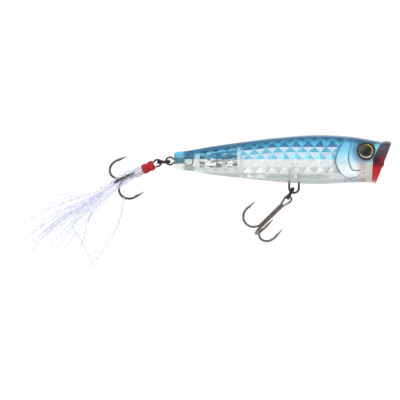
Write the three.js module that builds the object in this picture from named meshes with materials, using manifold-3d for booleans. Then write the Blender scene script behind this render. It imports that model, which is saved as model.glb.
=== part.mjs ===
// Topwater popper: a hollow clear fishing lure with a red cupped mouth, a prism reflector in each
// flank, steel rattle balls in its tail and two treble hooks on split rings, the rear one dressed
// with tinsel. Millimetres. +X towards the mouth, +Y to the fish's left, +Z towards its back.
// The origin is the centre of the line-tie eye.
import * as THREE from 'three';
import { mergeVertices } from 'three/addons/utils/BufferGeometryUtils.js';
import Module from 'manifold-3d';

const wasm = await Module();
wasm.setup();

// ---------------------------------------------------------------- driving dimensions
const GAP = 0.3; // left between neighbouring pieces
const FAR = 20; // beyond the hull on every side, for the blocks that cut it
const TAIL_X = -85.2; // flat tail face
const AXIS_Z = 1.33; // the hull's long axis, above the line-tie eye
const WALL = 1.2; // clear shell
const TAIL_WALL = 1.6;
const TAIL_ROUND = 1.1; // radius of the tail face's edge
const ROUNDNESS = 2.15; // exponent of the hull's section: 2 is an ellipse
const HULL = [
  // distance from the tail face, height above the axis, depth below it, half width
  [0, 3.5, 3.9, 3.3],
  [16.5, 5.9, 6.1, 5.1],
  [31.5, 8.0, 7.8, 6.8],
  [46, 9.7, 9.2, 8.0],
  [60, 10.5, 9.8, 8.6],
  [74, 9.7, 9.2, 8.2],
  [84, 8.0, 9.1, 7.6],
  [92, 6.4, 8.9, 7.1],
];

const MOUTH = {
  rimX: 1.7, // rim plane where it crosses the line-tie's height
  rimSlope: 0.387, // how far the rim leans forward for each millimetre up
  backX: -2.75, // where the red band meets the clear shell, at the same height
  lowerSlope: 0.07,
  upperSlope: 0.4, // extra lean above the kink
  kinkZ: 2.2,
  flare: 0.75, // the lip beyond the hull's own line
  lip: 0.9, // lip thickness
  rimHalf: 8, // the rim's mean half height
  depth: 5.6, // of the dish, from the rim plane
  wall: 1.2, // of the bowl behind the band
  neck: 0.66, // the bowl's size where it leaves the band, as a share of the hull's section
  legRoom: 1.3, // half height of the slot that lets the line tie's legs through the bowl
};

const SMALL_WIRE = 0.75; // diameters of the line tie and the tail hanger
const BELLY_WIRE = 0.95;
const EYE_RING = 1.58; // mean radius of a wire eye
const TAIL_EYE = { x: -86.9, z: 1.04 };
const TAIL_POST = { x: -79.1, z: 0.95, r: 1.1 };
const TIE_POST = { x: -11.2, z: 0, r: 1.1 };
const POST_LOOP = 1.8; // mean radius of the wire round a post
const TIE_LEGS = 0.55; // half the distance between a wire's two legs
const TAIL_LEGS = 0.83;
const WIRE_SIDES = 6; // flats round a wire
const BELLY = { x: -35.44, lowZ: -10.17, highZ: -3.6, r: 2.01, postR: 1.15, slotTop: -6 };

const RING = { r: 2.6, wire: 0.62, pitch: 0.71, turns: 1.9 };
const HOOK = {
  length: 21.8, // from the eye's outer end to the bottom of the bends
  wire: 0.95,
  eye: 1.4, // mean radius of the eye's round end
  eyeWire: 0.8,
  eyeLength: 5.4, // outer end to where its legs close on the shank
  spread: 9.8, // centre of the point's wire to the shank's axis
  legPast: 0.6, // how far the eye's legs run on past the start of the shank
  straight: 1.3, // wire between the bend and the sharpened point
  point: 3.6, // length of the sharpened point
  pointTurn: 4, // degrees that the point leans towards the shank
  pointIn: 0.4, // how far its axis starts inside the spread
  barb: 1.5,
  barbTurn: 18, // degrees that the barb stands off the point
  barbIn: 1.02,
};
const TAIL_PLACES = [33.5, 153.5, 273.5]; // where each prong stands round its shank, in degrees
const BELLY_PLACES = [100, 220, 340];
const TAIL_LEAN = 9; // degrees that the tail ring hangs below level
const TAIL_SHANK = 25.4; // degrees that the rear shank points below level
const BELLY_LEAN = 68; // degrees that the belly ring hangs below level
const BELLY_SHANK = 44.5;
const BELLY_RING_TOP = { x: -36.0, z: -10.0 }; // where the belly ring's wire passes through the hanger

const EYE = { x: -5.56, z: 5.27, r: 3.1, tilt: 15, turn: 5, disc: 0.5, sunk: 0.85, seat: 0.9, seatTop: -0.4 };
// the dome's outline, as [radius, height] from its flat back
const DOME_BULGE = [[0, 0], [EYE.r, 0], [EYE.r, 0.3], [2.6, 0.75], [1.8, 1.1], [0.9, 1.3], [0, 1.35]];
const CHAMBER = {
  back: -73.9,
  front: -58.9,
  rib: 0.7,
  web: 3.3, // thickness of the web at the back and the belly
  waist: 1.9,
  webZ: [-9, 11], // heights between which the web narrows and widens again
  shelf: 0.8,
  shelfIn: 0.5, // how far a shelf runs into the walls
};
const BALL = { r: 2.25, z: 0.7, spacing: 4.55, firstX: -71.35, count: 3 };
const PRISM = { back: -57.6, front: -16.9, columns: 8, relief: 0.55, base: 0.6 };
const PRISM_ROWS = [-0.52, -0.26, 0.04, 0.31, 0.57, 0.8]; // share of the half height at each row's edge

// sleeves on the rear shank, from the eye's outer end: [start, end], outer radius, bore at each end
const WRAP = { span: [3.4, 8.7], r: 2.1, bore: [1.84, 1.36], ridges: 6, ridge: 0.12 };
const COLLAR = { span: [9.0, 12.0], r: 1.95, bore: [1.36, 1.36], ridges: 1, ridge: 0.2 };
const LOCKS = [
  // tinsel locks: reach along the shank, rise across it, reach to the left, place round the shank
  { reach: 64, rise: 2.0, left: -1.5, from: 350 },
  { reach: 60, rise: 0.0, left: -4.5, from: 316 },
  { reach: 62, rise: -8.0, left: 4.0, from: 72 },
  { reach: 58, rise: -15.0, left: -7.0, from: 240 },
  { reach: 57, rise: -31.0, left: 6.0, from: 108 },
  { reach: 44, rise: -26.0, left: -4.5, from: 212 },
  { reach: 46, rise: -28.0, left: -0.5, from: 184 },
];
const LOCK_R = [0.4, 0.7, 0.2]; // a lock's radius at its root, middle and tip
const LOCK_OFF = 1.95; // distance of a lock's root from the shank's axis
const LOCK_STRAIGHT = 12.2; // how far a lock keeps to the shank before it fans out
const LOCK_FLARE = 1.4; // how much further off the shank it is by then
const LOCK_TURN = { reach: 0.62, left: 0.7, rise: 0.35 }; // where it bends, as shares of its tip's place

// ---------------------------------------------------------------- materials
const plastic = (color, more) => new THREE.MeshStandardMaterial({ color, roughness: 0.2, ...more });
const steel = (color, roughness) => new THREE.MeshStandardMaterial({ color, roughness, metalness: 1 });
const CLEAR = plastic('#8fc4de', { transparent: true, opacity: 0.35, side: THREE.DoubleSide });
const PRISM_FOIL = plastic('#b9dbe8', { metalness: 0.7 });
const CUP_RED = plastic('#b02038');
const DARK_STEEL = steel('#4b443f', 0.3);
const BALL_STEEL = steel('#b8bcc0', 0.15);
const IRIS = plastic('#c9b04a', { metalness: 0.6 });
const DOME = plastic('#ffffff', { transparent: true, opacity: 0.3 });
const THREAD = plastic('#c81830', { roughness: 0.7 });
const TINSEL = plastic('#dfe6f6', { metalness: 0.3, roughness: 0.3 });

// ---------------------------------------------------------------- solids
const rad = THREE.MathUtils.degToRad;
const vec = (x, y, z) => new THREE.Vector3(x, y, z);

/** A manifold solid from a closed geometry, turned the right way out. */
function solid(geometry, matrix = new THREE.Matrix4()) {
  const bare = new THREE.BufferGeometry();
  const whole = geometry.clone().applyMatrix4(matrix);
  bare.setAttribute('position', whole.getAttribute('position'));
  bare.setIndex(whole.getIndex());
  const merged = mergeVertices(bare, 1e-5);
  const vertProperties = new Float32Array(merged.getAttribute('position').array);
  const kept = [];
  let volume = 0;
  const corner = (i) => new THREE.Vector3().fromArray(vertProperties, 3 * i);
  const index = merged.getIndex().array;
  for (let i = 0; i < index.length; i += 3) {
    const [a, b, c] = index.slice(i, i + 3);
    if (a === b || b === c || c === a) continue;
    kept.push(a, b, c);
    volume += corner(a).dot(corner(b).cross(corner(c)));
  }
  if (volume < 0) kept.reverse();
  const mesh = new wasm.Mesh({ numProp: 3, vertProperties, triVerts: new Uint32Array(kept) });
  return new wasm.Manifold(mesh);
}

/** A three.js geometry from a manifold solid. */
function toGeometry(body) {
  const mesh = body.getMesh();
  const geometry = new THREE.BufferGeometry();
  geometry.setAttribute('position', new THREE.BufferAttribute(mesh.vertProperties, 3));
  geometry.setIndex(new THREE.BufferAttribute(mesh.triVerts, 1));
  geometry.computeVertexNormals();
  return geometry;
}

/** A closed skin over rings of points, all of one length, with a flat fan at each end. */
function loft(rings) {
  const count = rings[0].length;
  const points = rings.flat();
  const index = [];
  for (let k = 0; k + 1 < rings.length; k += 1) {
    for (let i = 0; i < count; i += 1) {
      const a = k * count + i;
      const b = k * count + ((i + 1) % count);
      index.push(a, b, b + count, a, b + count, a + count);
    }
  }
  const middle = (ring) => ring.reduce((sum, p) => sum.add(p), vec(0, 0, 0)).divideScalar(count);
  const ends = [rings[0], rings.at(-1)];
  ends.forEach((ring, end) => {
    const centre = points.length;
    points.push(middle(ring));
    const first = end ? (rings.length - 1) * count : 0;
    for (let i = 0; i < count; i += 1) {
      const a = first + i;
      const b = first + ((i + 1) % count);
      index.push(...(end ? [centre, a, b] : [centre, b, a]));
    }
  });
  const geometry = new THREE.BufferGeometry().setFromPoints(points);
  geometry.setIndex(index);
  return geometry;
}

/** A box between two corners. */
function block(low, high) {
  const size = high.clone().sub(low);
  const middle = low.clone().add(high).multiplyScalar(0.5);
  return solid(new THREE.BoxGeometry(size.x, size.y, size.z).translate(middle.x, middle.y, middle.z));
}

/** A round rod across the hull, along Y, at a place in the side view. */
function crossRod(place, radius, halfLength) {
  const rod = new THREE.CylinderGeometry(radius, radius, 2 * halfLength, 10);
  return solid(rod.translate(place.x, 0, place.z));
}

/** A round wire along a curve. */
function wire(curve, diameter, steps) {
  const section = new THREE.Shape();
  section.absarc(0, 0, diameter / 2, 0, 2 * Math.PI);
  const options = { steps, extrudePath: curve, curveSegments: WIRE_SIDES / 2, bevelEnabled: false };
  return solid(new THREE.ExtrudeGeometry(section, options));
}

/** An arc in a plane along Y, from one angle to another: 0 degrees is +X and 90 is +Z. */
class SideArc extends THREE.Curve {
  constructor(centre, radius, from, to) {
    super();
    Object.assign(this, { centre, radius, from, to });
  }

  getPoint(t, target = vec(0, 0, 0)) {
    const angle = rad(this.from + (this.to - this.from) * t);
    const { x, z } = this.centre;
    return target.set(x + this.radius * Math.cos(angle), 0, z + this.radius * Math.sin(angle));
  }
}

/** A run of curves and points, joined by straight lines. */
function joined(...stops) {
  const path = new THREE.CurvePath();
  let last = null;
  for (const stop of stops) {
    const start = stop.isVector3 ? stop : stop.getPoint(0);
    if (last) path.add(new THREE.LineCurve3(last, start));
    if (!stop.isVector3) path.add(stop);
    last = stop.isVector3 ? stop : stop.getPoint(1);
  }
  return path;
}

// ---------------------------------------------------------------- the hull's shape
const hullLine = new THREE.CubicInterpolant(
  HULL.map((row) => row[0]),
  HULL.flatMap((row) => row.slice(1)),
  3,
);

/** The hull's top, bottom and half width at x, drawn in by inset. */
function hullAt(x, inset = 0) {
  const t = Math.max(x - TAIL_X, 0);
  const short = Math.max(TAIL_ROUND - t, 0);
  const rounding = TAIL_ROUND - Math.sqrt(TAIL_ROUND ** 2 - short ** 2);
  const [top, bottom, width] = Array.from(hullLine.evaluate(t), (size) => size - inset - rounding);
  return { top, bottom, width };
}

/** A point of the hull's section at x: angle 0 is +Y and 90 degrees is up. */
function hullPoint(x, angle, inset = 0, scale = 1) {
  const { top, bottom, width } = hullAt(x, inset);
  const bulge = (v) => Math.sign(v) * Math.abs(v) ** (2 / ROUNDNESS);
  const height = Math.sin(angle) > 0 ? top : bottom;
  const y = scale * width * bulge(Math.cos(angle));
  return vec(x, y, AXIS_Z + scale * height * bulge(Math.sin(angle)));
}

/** How far the hull's surface, drawn in by inset, lies from the middle plane at x and z. */
function hullHalfWidth(x, z, inset = 0) {
  const { top, bottom, width } = hullAt(x, inset);
  const share = Math.abs(z - AXIS_Z) / (z > AXIS_Z ? top : bottom);
  return width * Math.max(1 - share ** ROUNDNESS, 0) ** (1 / ROUNDNESS);
}

const AROUND = 24;
const angles = Array.from({ length: AROUND }, (_, i) => (2 * Math.PI * i) / AROUND);

/** The hull as a solid, drawn in by inset, from one x to another. */
function hullSolid(from, to, inset) {
  const stations = [0, 0.35, TAIL_ROUND, 5, ...HULL.slice(1).map((row) => row[0])];
  const between = HULL.slice(2, 7).map((row, i) => (row[0] + HULL[i + 1][0]) / 2);
  const inside = [...stations, ...between].map((t) => TAIL_X + t).filter((x) => x > from && x < to);
  const places = [from, ...inside.sort((a, b) => a - b), to];
  return solid(loft(places.map((x) => angles.map((angle) => hullPoint(x, angle, inset)))));
}

/** Where the red band meets the clear shell, and where its rim is, at a height. */
const bandBack = (z) =>
  MOUTH.backX + MOUTH.lowerSlope * z + MOUTH.upperSlope * Math.max(z - MOUTH.kinkZ, 0);
const bandRim = (z) => MOUTH.rimX + MOUTH.rimSlope * z;

// ---------------------------------------------------------------- clear shells
/** A side-view outline, drawn out across the whole hull. */
function acrossHull(outline) {
  const prism = new THREE.ExtrudeGeometry(outline, { depth: 2 * FAR, bevelEnabled: false, curveSegments: 5 });
  return solid(prism.rotateX(Math.PI / 2).translate(0, FAR, 0));
}

/** Everything ahead of the red band's back edge. */
function aheadOfBand() {
  const outline = new THREE.Shape();
  outline.moveTo(FAR, -FAR);
  outline.lineTo(bandBack(-FAR) - GAP, -FAR);
  outline.lineTo(bandBack(MOUTH.kinkZ) - GAP, MOUTH.kinkZ);
  outline.lineTo(bandBack(FAR) - GAP, FAR);
  outline.lineTo(FAR, FAR);
  return acrossHull(outline);
}

/** The web behind the rattle chamber, thick at its back and belly and thin at its waist. */
function flaredWeb() {
  const { back, web, waist } = CHAMBER;
  const [low, high] = CHAMBER.webZ;
  const outline = new THREE.Shape();
  outline.moveTo(back - web, low);
  outline.quadraticCurveTo(back - waist, AXIS_Z, back - web, high);
  outline.lineTo(back, high);
  outline.quadraticCurveTo(back - web + waist, AXIS_Z, back, low);
  return acrossHull(outline);
}

/** Places an eye's parts: its local Z is the outward normal. side is 1 on the left, -1 on the right. */
function eyeFrame(side) {
  const out = vec(0, 0, 1);
  out.applyAxisAngle(vec(1, 0, 0), -side * (Math.PI / 2 - rad(EYE.tilt)));
  out.applyAxisAngle(vec(0, 0, 1), -side * rad(EYE.turn));
  const surface = vec(EYE.x, side * hullHalfWidth(EYE.x, EYE.z), EYE.z);
  const turned = new THREE.Quaternion().setFromUnitVectors(vec(0, 0, 1), out);
  return new THREE.Matrix4().compose(surface, turned, vec(1, 1, 1));
}

/** A disc in an eye's frame, between two heights over the hull's surface. */
function eyeDisc(side, radius, low, high) {
  const disc = new THREE.CylinderGeometry(radius, radius, high - low, 20);
  disc.rotateX(Math.PI / 2).translate(0, 0, (low + high) / 2);
  return solid(disc, eyeFrame(side));
}

/** Ribs, webs, posts and shelves moulded inside the shell, as one solid across both halves. */
function mouldings() {
  const { back, front, rib, shelf, shelfIn } = CHAMBER;
  const shelfZ = BALL.r + GAP + shelf / 2;
  const shelfAt = (z) =>
    block(vec(back - shelfIn, -FAR, z - shelf / 2), vec(front + shelfIn, FAR, z + shelf / 2));
  return [
    flaredWeb(),
    block(vec(front, -FAR, -FAR), vec(front + rib, FAR, FAR)),
    shelfAt(BALL.z + shelfZ),
    shelfAt(BALL.z - shelfZ),
    crossRod(TAIL_POST, TAIL_POST.r, FAR),
    crossRod(TIE_POST, TIE_POST.r, FAR),
    crossRod({ x: BELLY.x, z: BELLY.highZ }, BELLY.postR, FAR),
    ...[1, -1].map((side) => eyeDisc(side, EYE.r + EYE.seat, -EYE.sunk - EYE.seat, EYE.seatTop)),
  ].reduce((all, piece) => all.add(piece));
}

/** One half of the shell. side is 1 on the left, -1 on the right. */
function shellHalf(side) {
  const front = TAIL_X + HULL.at(-1)[0];
  const outer = hullSolid(TAIL_X, front - 1, 0);
  const inner = hullSolid(TAIL_X + TAIL_WALL, front, WALL);
  const kept = side > 0 ? [GAP / 2, FAR] : [-FAR, -GAP / 2];
  const half = block(vec(TAIL_X - 1, kept[0], -FAR), vec(FAR, kept[1], FAR));
  const tailHigh = POST_LOOP / 2 + SMALL_WIRE;
  const tailHalf = SMALL_WIRE / 2 + GAP;
  const tailSlot = block(
    vec(TAIL_X - 1, -tailHalf, TAIL_EYE.z - tailHigh),
    vec(TAIL_X + TAIL_WALL + GAP, tailHalf, TAIL_EYE.z + tailHigh),
  );
  const bellyHalf = BELLY_WIRE / 2 + GAP;
  const bellyLong = BELLY.r + bellyHalf;
  const bellySlot = block(
    vec(BELLY.x - bellyLong, -bellyHalf, -FAR),
    vec(BELLY.x + bellyLong, bellyHalf, BELLY.slotTop),
  );
  return outer
    .subtract(inner)
    .add(mouldings().intersect(outer))
    .subtract(foilRoom())
    .subtract(aheadOfBand())
    .subtract(tailSlot)
    .subtract(bellySlot)
    .subtract(eyeDisc(side, EYE.r + GAP, -EYE.sunk, EYE.r))
    .intersect(half);
}

// ---------------------------------------------------------------- prism reflectors
/** A grid over one flank, from its lower to its upper edge, drawn in by inset(column, row). */
function flankGrid(side, inset) {
  const across = 2 * PRISM.columns;
  return PRISM_ROWS.map((share, row) =>
    Array.from({ length: across + 1 }, (_, column) => {
      const x = THREE.MathUtils.lerp(PRISM.back, PRISM.front, column / across);
      const depth = inset(column, row);
      const { top, bottom } = hullAt(x, depth);
      const z = AXIS_Z + share * (share > 0 ? top : bottom);
      return vec(x, side * hullHalfWidth(x, z, depth), z);
    }),
  );
}

/** A plate that follows the flank: diamond-based pyramids outside, smooth inside. */
function prismPlate(side, relief, face, back) {
  const outside = flankGrid(side, (column, row) => ((column + row) % 2 ? face : face + relief));
  const inside = flankGrid(side, () => back);
  const rows = outside.length;
  const columns = outside[0].length;
  const points = [...outside.flat(), ...inside.flat()];
  const index = [];
  const quad = (a, b, c, d) => index.push(a, b, c, a, c, d);
  const at = (column, row, skin) => skin * rows * columns + row * columns + column;
  for (let row = 0; row + 1 < rows; row += 1) {
    for (let column = 0; column + 1 < columns; column += 1) {
      const corners = (skin) => [
        at(column, row, skin),
        at(column + 1, row, skin),
        at(column + 1, row + 1, skin),
        at(column, row + 1, skin),
      ];
      const [a, b, c, d] = corners(0);
      if ((column + row) % 2) quad(b, c, d, a);
      else quad(a, b, c, d);
      quad(...corners(1).reverse());
    }
  }
  const edge = (a, b) => quad(at(...b, 0), at(...a, 0), at(...a, 1), at(...b, 1));
  for (let column = 0; column + 1 < columns; column += 1) {
    edge([column, 0], [column + 1, 0]);
    edge([column + 1, rows - 1], [column, rows - 1]);
  }
  for (let row = 0; row + 1 < rows; row += 1) {
    edge([columns - 1, row], [columns - 1, row + 1]);
    edge([0, row + 1], [0, row]);
  }
  const geometry = new THREE.BufferGeometry().setFromPoints(points);
  geometry.setIndex(index);
  return solid(geometry);
}

/** The reflector on one flank. */
function prismInsert(side) {
  const face = WALL + GAP;
  return prismPlate(side, PRISM.relief, face, face + PRISM.relief + PRISM.base);
}

/** The space that moulded rods and posts leave for both reflectors. */
function foilRoom() {
  const face = WALL;
  const back = WALL + PRISM.relief + PRISM.base + 2 * GAP;
  return prismPlate(1, 0, face, back).add(prismPlate(-1, 0, face, back));
}

// ---------------------------------------------------------------- mouth cup
/** A ring of the cup: along is 0 at the band's back edge and 1 at the rim plane. */
function cupRing(along, scale, grow = 0) {
  return angles.map((angle) => {
    let z = AXIS_Z;
    let point = vec(0, 0, 0);
    for (let pass = 0; pass < 4; pass += 1) {
      const x = THREE.MathUtils.lerp(bandBack(z), bandRim(z), along);
      point = hullPoint(x, angle, -grow, scale);
      z = point.z;
    }
    return point;
  });
}

/** The red insert: a flared band at the mouth, a dish in its face and a bowl behind it. */
function mouthCup() {
  const span = MOUTH.rimX - MOUTH.backX;
  const joint = GAP / 2 / span;
  const bowl = (MOUTH.depth + MOUTH.wall) / span;
  const dish = MOUTH.depth / span;
  const open = 1 - MOUTH.lip / MOUTH.rimHalf;
  const flare = (along) => MOUTH.flare * along ** 2;
  const curve = (share) => Math.sqrt(1 - share ** 2);
  const bowlEnd = Math.sqrt(1 - (1 / bowl) ** 2);
  const lip = [[0.97, 1, 0.12], [1, 1, 0.4], [0.98, open, 0.3]]; // along, scale, below the full flare
  const rings = [
    ...[0.03, 0.45, 0.8].map((k) => cupRing(1 - bowl * curve(k * bowlEnd), k * MOUTH.neck)),
    cupRing(joint, MOUTH.neck),
    ...[joint, 0.3, 0.6, 0.85].map((along) => cupRing(along, 1, flare(along))),
    ...lip.map(([along, scale, back]) => cupRing(along, scale, flare(1) - back)),
    ...[0.95, 0.85, 0.68, 0.45, 0.2, 0.03].map((k) => cupRing(1 - dish * curve(k), open * k, 0.4)),
  ];
  const slotHalf = SMALL_WIRE / 2 + GAP;
  const slot = block(
    vec(TIE_POST.x, -slotHalf, -MOUTH.legRoom),
    vec(-EYE_RING, slotHalf, MOUTH.legRoom),
  );
  return solid(loft(rings)).subtract(slot);
}

// ---------------------------------------------------------------- wires
/** Bent wire with an eye, two legs side by side and a loop round a post. */
function figureEight(eye, post, legHalf, diameter) {
  const ahead = Math.sign(eye.x - post.x);
  const eyeStart = THREE.MathUtils.radToDeg(Math.asin(legHalf / EYE_RING));
  const postStart = THREE.MathUtils.radToDeg(Math.asin(legHalf / POST_LOOP));
  const half = ahead > 0 ? 180 : 0;
  const cut = 5; // degrees left open where the wire's ends meet
  return wire(
    joined(
      new SideArc(post, POST_LOOP, half - cut, half - 180 + postStart),
      new SideArc(eye, EYE_RING, half - eyeStart, half - 360 + eyeStart),
      new SideArc(post, POST_LOOP, half + 180 - postStart, half + cut),
    ),
    diameter,
    44,
  );
}

/** The belly hanger: a long link whose upper end goes round a post. */
function bellyHanger() {
  const low = { x: BELLY.x, z: BELLY.lowZ };
  const high = { x: BELLY.x, z: BELLY.highZ };
  const cut = 6;
  const path = joined(
    new SideArc(high, BELLY.r, 90 + cut, 180),
    new SideArc(low, BELLY.r, 180, 360),
    new SideArc(high, BELLY.r, 0, 90 - cut),
  );
  return wire(path, BELLY_WIRE, 36);
}

/** Two turns of wire lying on each other, in the XY plane round the origin. */
class SplitRing extends THREE.Curve {
  getPoint(t, target = vec(0, 0, 0)) {
    const angle = 2 * Math.PI * RING.turns * (t - 0.5) + Math.PI / 2;
    const height = RING.pitch * RING.turns * (t - 0.5);
    return target.set(RING.r * Math.cos(angle), RING.r * Math.sin(angle), height);
  }
}
const splitRing = () => wire(new SplitRing(), RING.wire, 40);

// ---------------------------------------------------------------- treble hooks
/** A turned solid of [x, radius] steps, along X. */
function turned(profile, sides) {
  const points = profile.map(([x, r]) => new THREE.Vector2(r, x));
  return solid(new THREE.LatheGeometry(points, sides).rotateZ(-Math.PI / 2));
}

/** A treble hook: its shank along +X from the middle of the eye's round end, its eye in XZ, and
    its prongs at places round the shank, in degrees from +Z towards -Y. */
function treble(places) {
  const reach = HOOK.length - HOOK.eye - HOOK.eyeWire / 2; // eye's middle to the lowest wire
  const inner = HOOK.wire / Math.sqrt(3); // three touching wires
  const bend = (HOOK.spread - inner) / 2;
  const bendX = reach - HOOK.wire / 2 - bend;
  const shankX = HOOK.eyeLength - HOOK.eye;
  const legEnd = shankX + HOOK.legPast;
  const eyeBend = new SideArc({ x: 0, z: 0 }, HOOK.eye, 75, 285);
  const eye = wire(joined(vec(legEnd, 0, inner), eyeBend, vec(legEnd, 0, -inner)), HOOK.eyeWire, 22);
  const tipX = bendX - HOOK.straight;
  const bow = new SideArc({ x: bendX, z: inner + bend }, bend, -90, 90);
  const prong = joined(vec(shankX - 0.4, 0, inner), bow, vec(tipX, 0, HOOK.spread - 0.1));
  const point = turned(
    [[0, 0], [0.02, 0.06], [HOOK.point, HOOK.wire / 2], [HOOK.point + 0.2, 0]],
    8,
  ).rotate([0, HOOK.pointTurn, 0]);
  const barb = turned([[0, 0], [0.02, 0.05], [HOOK.barb, 0.22], [HOOK.barb + 0.1, 0]], 5).rotate([
    0,
    180 + HOOK.barbTurn,
    0,
  ]);
  const sharp = point
    .translate([tipX - HOOK.point + 0.1, 0, HOOK.spread - HOOK.pointIn])
    .add(barb.translate([tipX + 0.3, 0, HOOK.spread - HOOK.barbIn]));
  const hook = wire(prong, HOOK.wire, 22).add(sharp);
  const brazeR = HOOK.wire / 2;
  const braze = turned([[shankX, 0], [shankX, brazeR], [bendX, brazeR], [bendX, 0]], WIRE_SIDES);
  return places.reduce((all, angle) => all.add(hook.rotate([angle, 0, 0])), eye.add(braze));
}

// ---------------------------------------------------------------- dressing of the rear hook
/** A ridged sleeve round the rear shank. */
function sleeve({ span, r, bore, ridges, ridge }) {
  const [start, end] = span.map((x) => x - HOOK.eye - HOOK.eyeWire / 2);
  const step = (end - start) / ridges;
  const bumps = Array.from({ length: ridges }, (_, i) => [
    [start + i * step, r - ridge],
    [start + (i + 0.5) * step, r],
  ]);
  const profile = [[start, bore[0]], ...bumps.flat(), [end, r - ridge], [end, bore[1]], [start, bore[0]]];
  return turned(profile, 16);
}

/** One lock of tinsel, in the rear hook's frame. */
function tinselLock({ reach, rise, left, from }) {
  const root = COLLAR.span[1] - HOOK.eye - HOOK.eyeWire / 2 + GAP;
  const around = rad(from);
  const start = vec(root, -LOCK_OFF * Math.sin(around), LOCK_OFF * Math.cos(around));
  const past = vec(root + LOCK_STRAIGHT, start.y * LOCK_FLARE, start.z * LOCK_FLARE);
  const bent = vec(reach * LOCK_TURN.reach, -left * LOCK_TURN.left, rise * LOCK_TURN.rise);
  const curve = new THREE.CubicBezierCurve3(start, past, bent, vec(reach, -left, rise));
  const steps = 10;
  const sides = 6;
  const frames = curve.computeFrenetFrames(steps, false);
  const [rootR, middleR, tipR] = LOCK_R;
  const rings = curve.getSpacedPoints(steps).map((middle, k) => {
    const t = k / steps;
    const radius = THREE.MathUtils.lerp(rootR, tipR, t) + (middleR - rootR) * Math.sin(Math.PI * t);
    return Array.from({ length: sides }, (_, i) => {
      const angle = (2 * Math.PI * i) / sides;
      const out = frames.normals[k].clone().multiplyScalar(radius * Math.cos(angle));
      out.addScaledVector(frames.binormals[k], radius * Math.sin(angle));
      return out.add(middle);
    });
  });
  return solid(loft(rings));
}

// ---------------------------------------------------------------- assembly
const popper = new THREE.Group();

function add(name, body, material, parent = popper) {
  const mesh = new THREE.Mesh(toGeometry(body), material);
  mesh.name = name;
  parent.add(mesh);
  return mesh;
}

/** A group at a place in the side view. Its +X points back, and down by degrees, its +Y to the
    fish's right and its +Z up. */
function hanging(place, down) {
  const along = vec(-Math.cos(rad(down)), 0, -Math.sin(rad(down)));
  const right = vec(0, -1, 0);
  const basis = new THREE.Matrix4().makeBasis(along, right, along.clone().cross(right));
  const group = new THREE.Group();
  group.position.set(place.x, 0, place.z);
  group.quaternion.setFromRotationMatrix(basis);
  popper.add(group);
  return group;
}

/** The place that lies a length away from another, back and down by degrees. */
const away = (place, length, down) => ({
  x: place.x - length * Math.cos(rad(down)),
  z: place.z - length * Math.sin(rad(down)),
});

add('body_shell_left', shellHalf(1), CLEAR);
add('body_shell_right', shellHalf(-1), CLEAR);
add('prism_insert_left', prismInsert(1), PRISM_FOIL);
add('prism_insert_right', prismInsert(-1), PRISM_FOIL);
add('mouth_cup', mouthCup(), CUP_RED);

for (const [name, side] of [['left', 1], ['right', -1]]) {
  const flat = -EYE.sunk + 0.1;
  const frame = eyeFrame(side);
  const profile = DOME_BULGE.map(([r, height]) => new THREE.Vector2(r, height + flat + EYE.disc + 0.1));
  const dome = new THREE.LatheGeometry(profile, 20).rotateX(Math.PI / 2);
  add(`eye_disc_${name}`, eyeDisc(side, EYE.r, flat, flat + EYE.disc), IRIS);
  add(`eye_dome_${name}`, solid(dome, frame), DOME);
}

for (let i = 0; i < BALL.count; i += 1) {
  const ball = new THREE.SphereGeometry(BALL.r, 12, 8);
  const mesh = add(`rattle_ball_${i + 1}`, solid(ball), BALL_STEEL);
  mesh.position.set(BALL.firstX + i * BALL.spacing, 0, BALL.z);
}

add('line_tie_wire', figureEight({ x: 0, z: 0 }, TIE_POST, TIE_LEGS, SMALL_WIRE), DARK_STEEL);
add('tail_hanger_wire', figureEight(TAIL_EYE, TAIL_POST, TAIL_LEGS, SMALL_WIRE), DARK_STEEL);
add('belly_hanger_wire', bellyHanger(), DARK_STEEL);

// Each ring's local +X runs from the hanger to the hook.
const tailRing = hanging(away(TAIL_EYE, RING.r, TAIL_LEAN), TAIL_LEAN);
add('tail_split_ring', splitRing(), DARK_STEEL, tailRing);
const bellyRing = hanging(away(BELLY_RING_TOP, RING.r, BELLY_LEAN), BELLY_LEAN);
add('belly_split_ring', splitRing(), DARK_STEEL, bellyRing);

const bellyHook = hanging(away(BELLY_RING_TOP, 2 * RING.r, BELLY_LEAN), BELLY_SHANK);
add('belly_treble', treble(BELLY_PLACES), DARK_STEEL, bellyHook);

const tailHook = hanging(away(TAIL_EYE, 2 * RING.r, TAIL_LEAN), TAIL_SHANK);
add('tail_treble', treble(TAIL_PLACES), DARK_STEEL, tailHook);
add('thread_wrap', sleeve(WRAP), THREAD, tailHook);
add('tinsel_collar', sleeve(COLLAR), TINSEL, tailHook);
LOCKS.forEach((lock, i) => add(`tinsel_lock_${i + 1}`, tinselLock(lock), TINSEL, tailHook));

export default popper;
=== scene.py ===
"""Looks of the topwater popper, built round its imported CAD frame. Shapes are in millimetres until
a piece is made. +X towards the mouth, +Y to the fish's left, +Z towards its back."""
import math

import bmesh
import bpy
import numpy as np
from mathutils import Matrix, Vector


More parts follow.
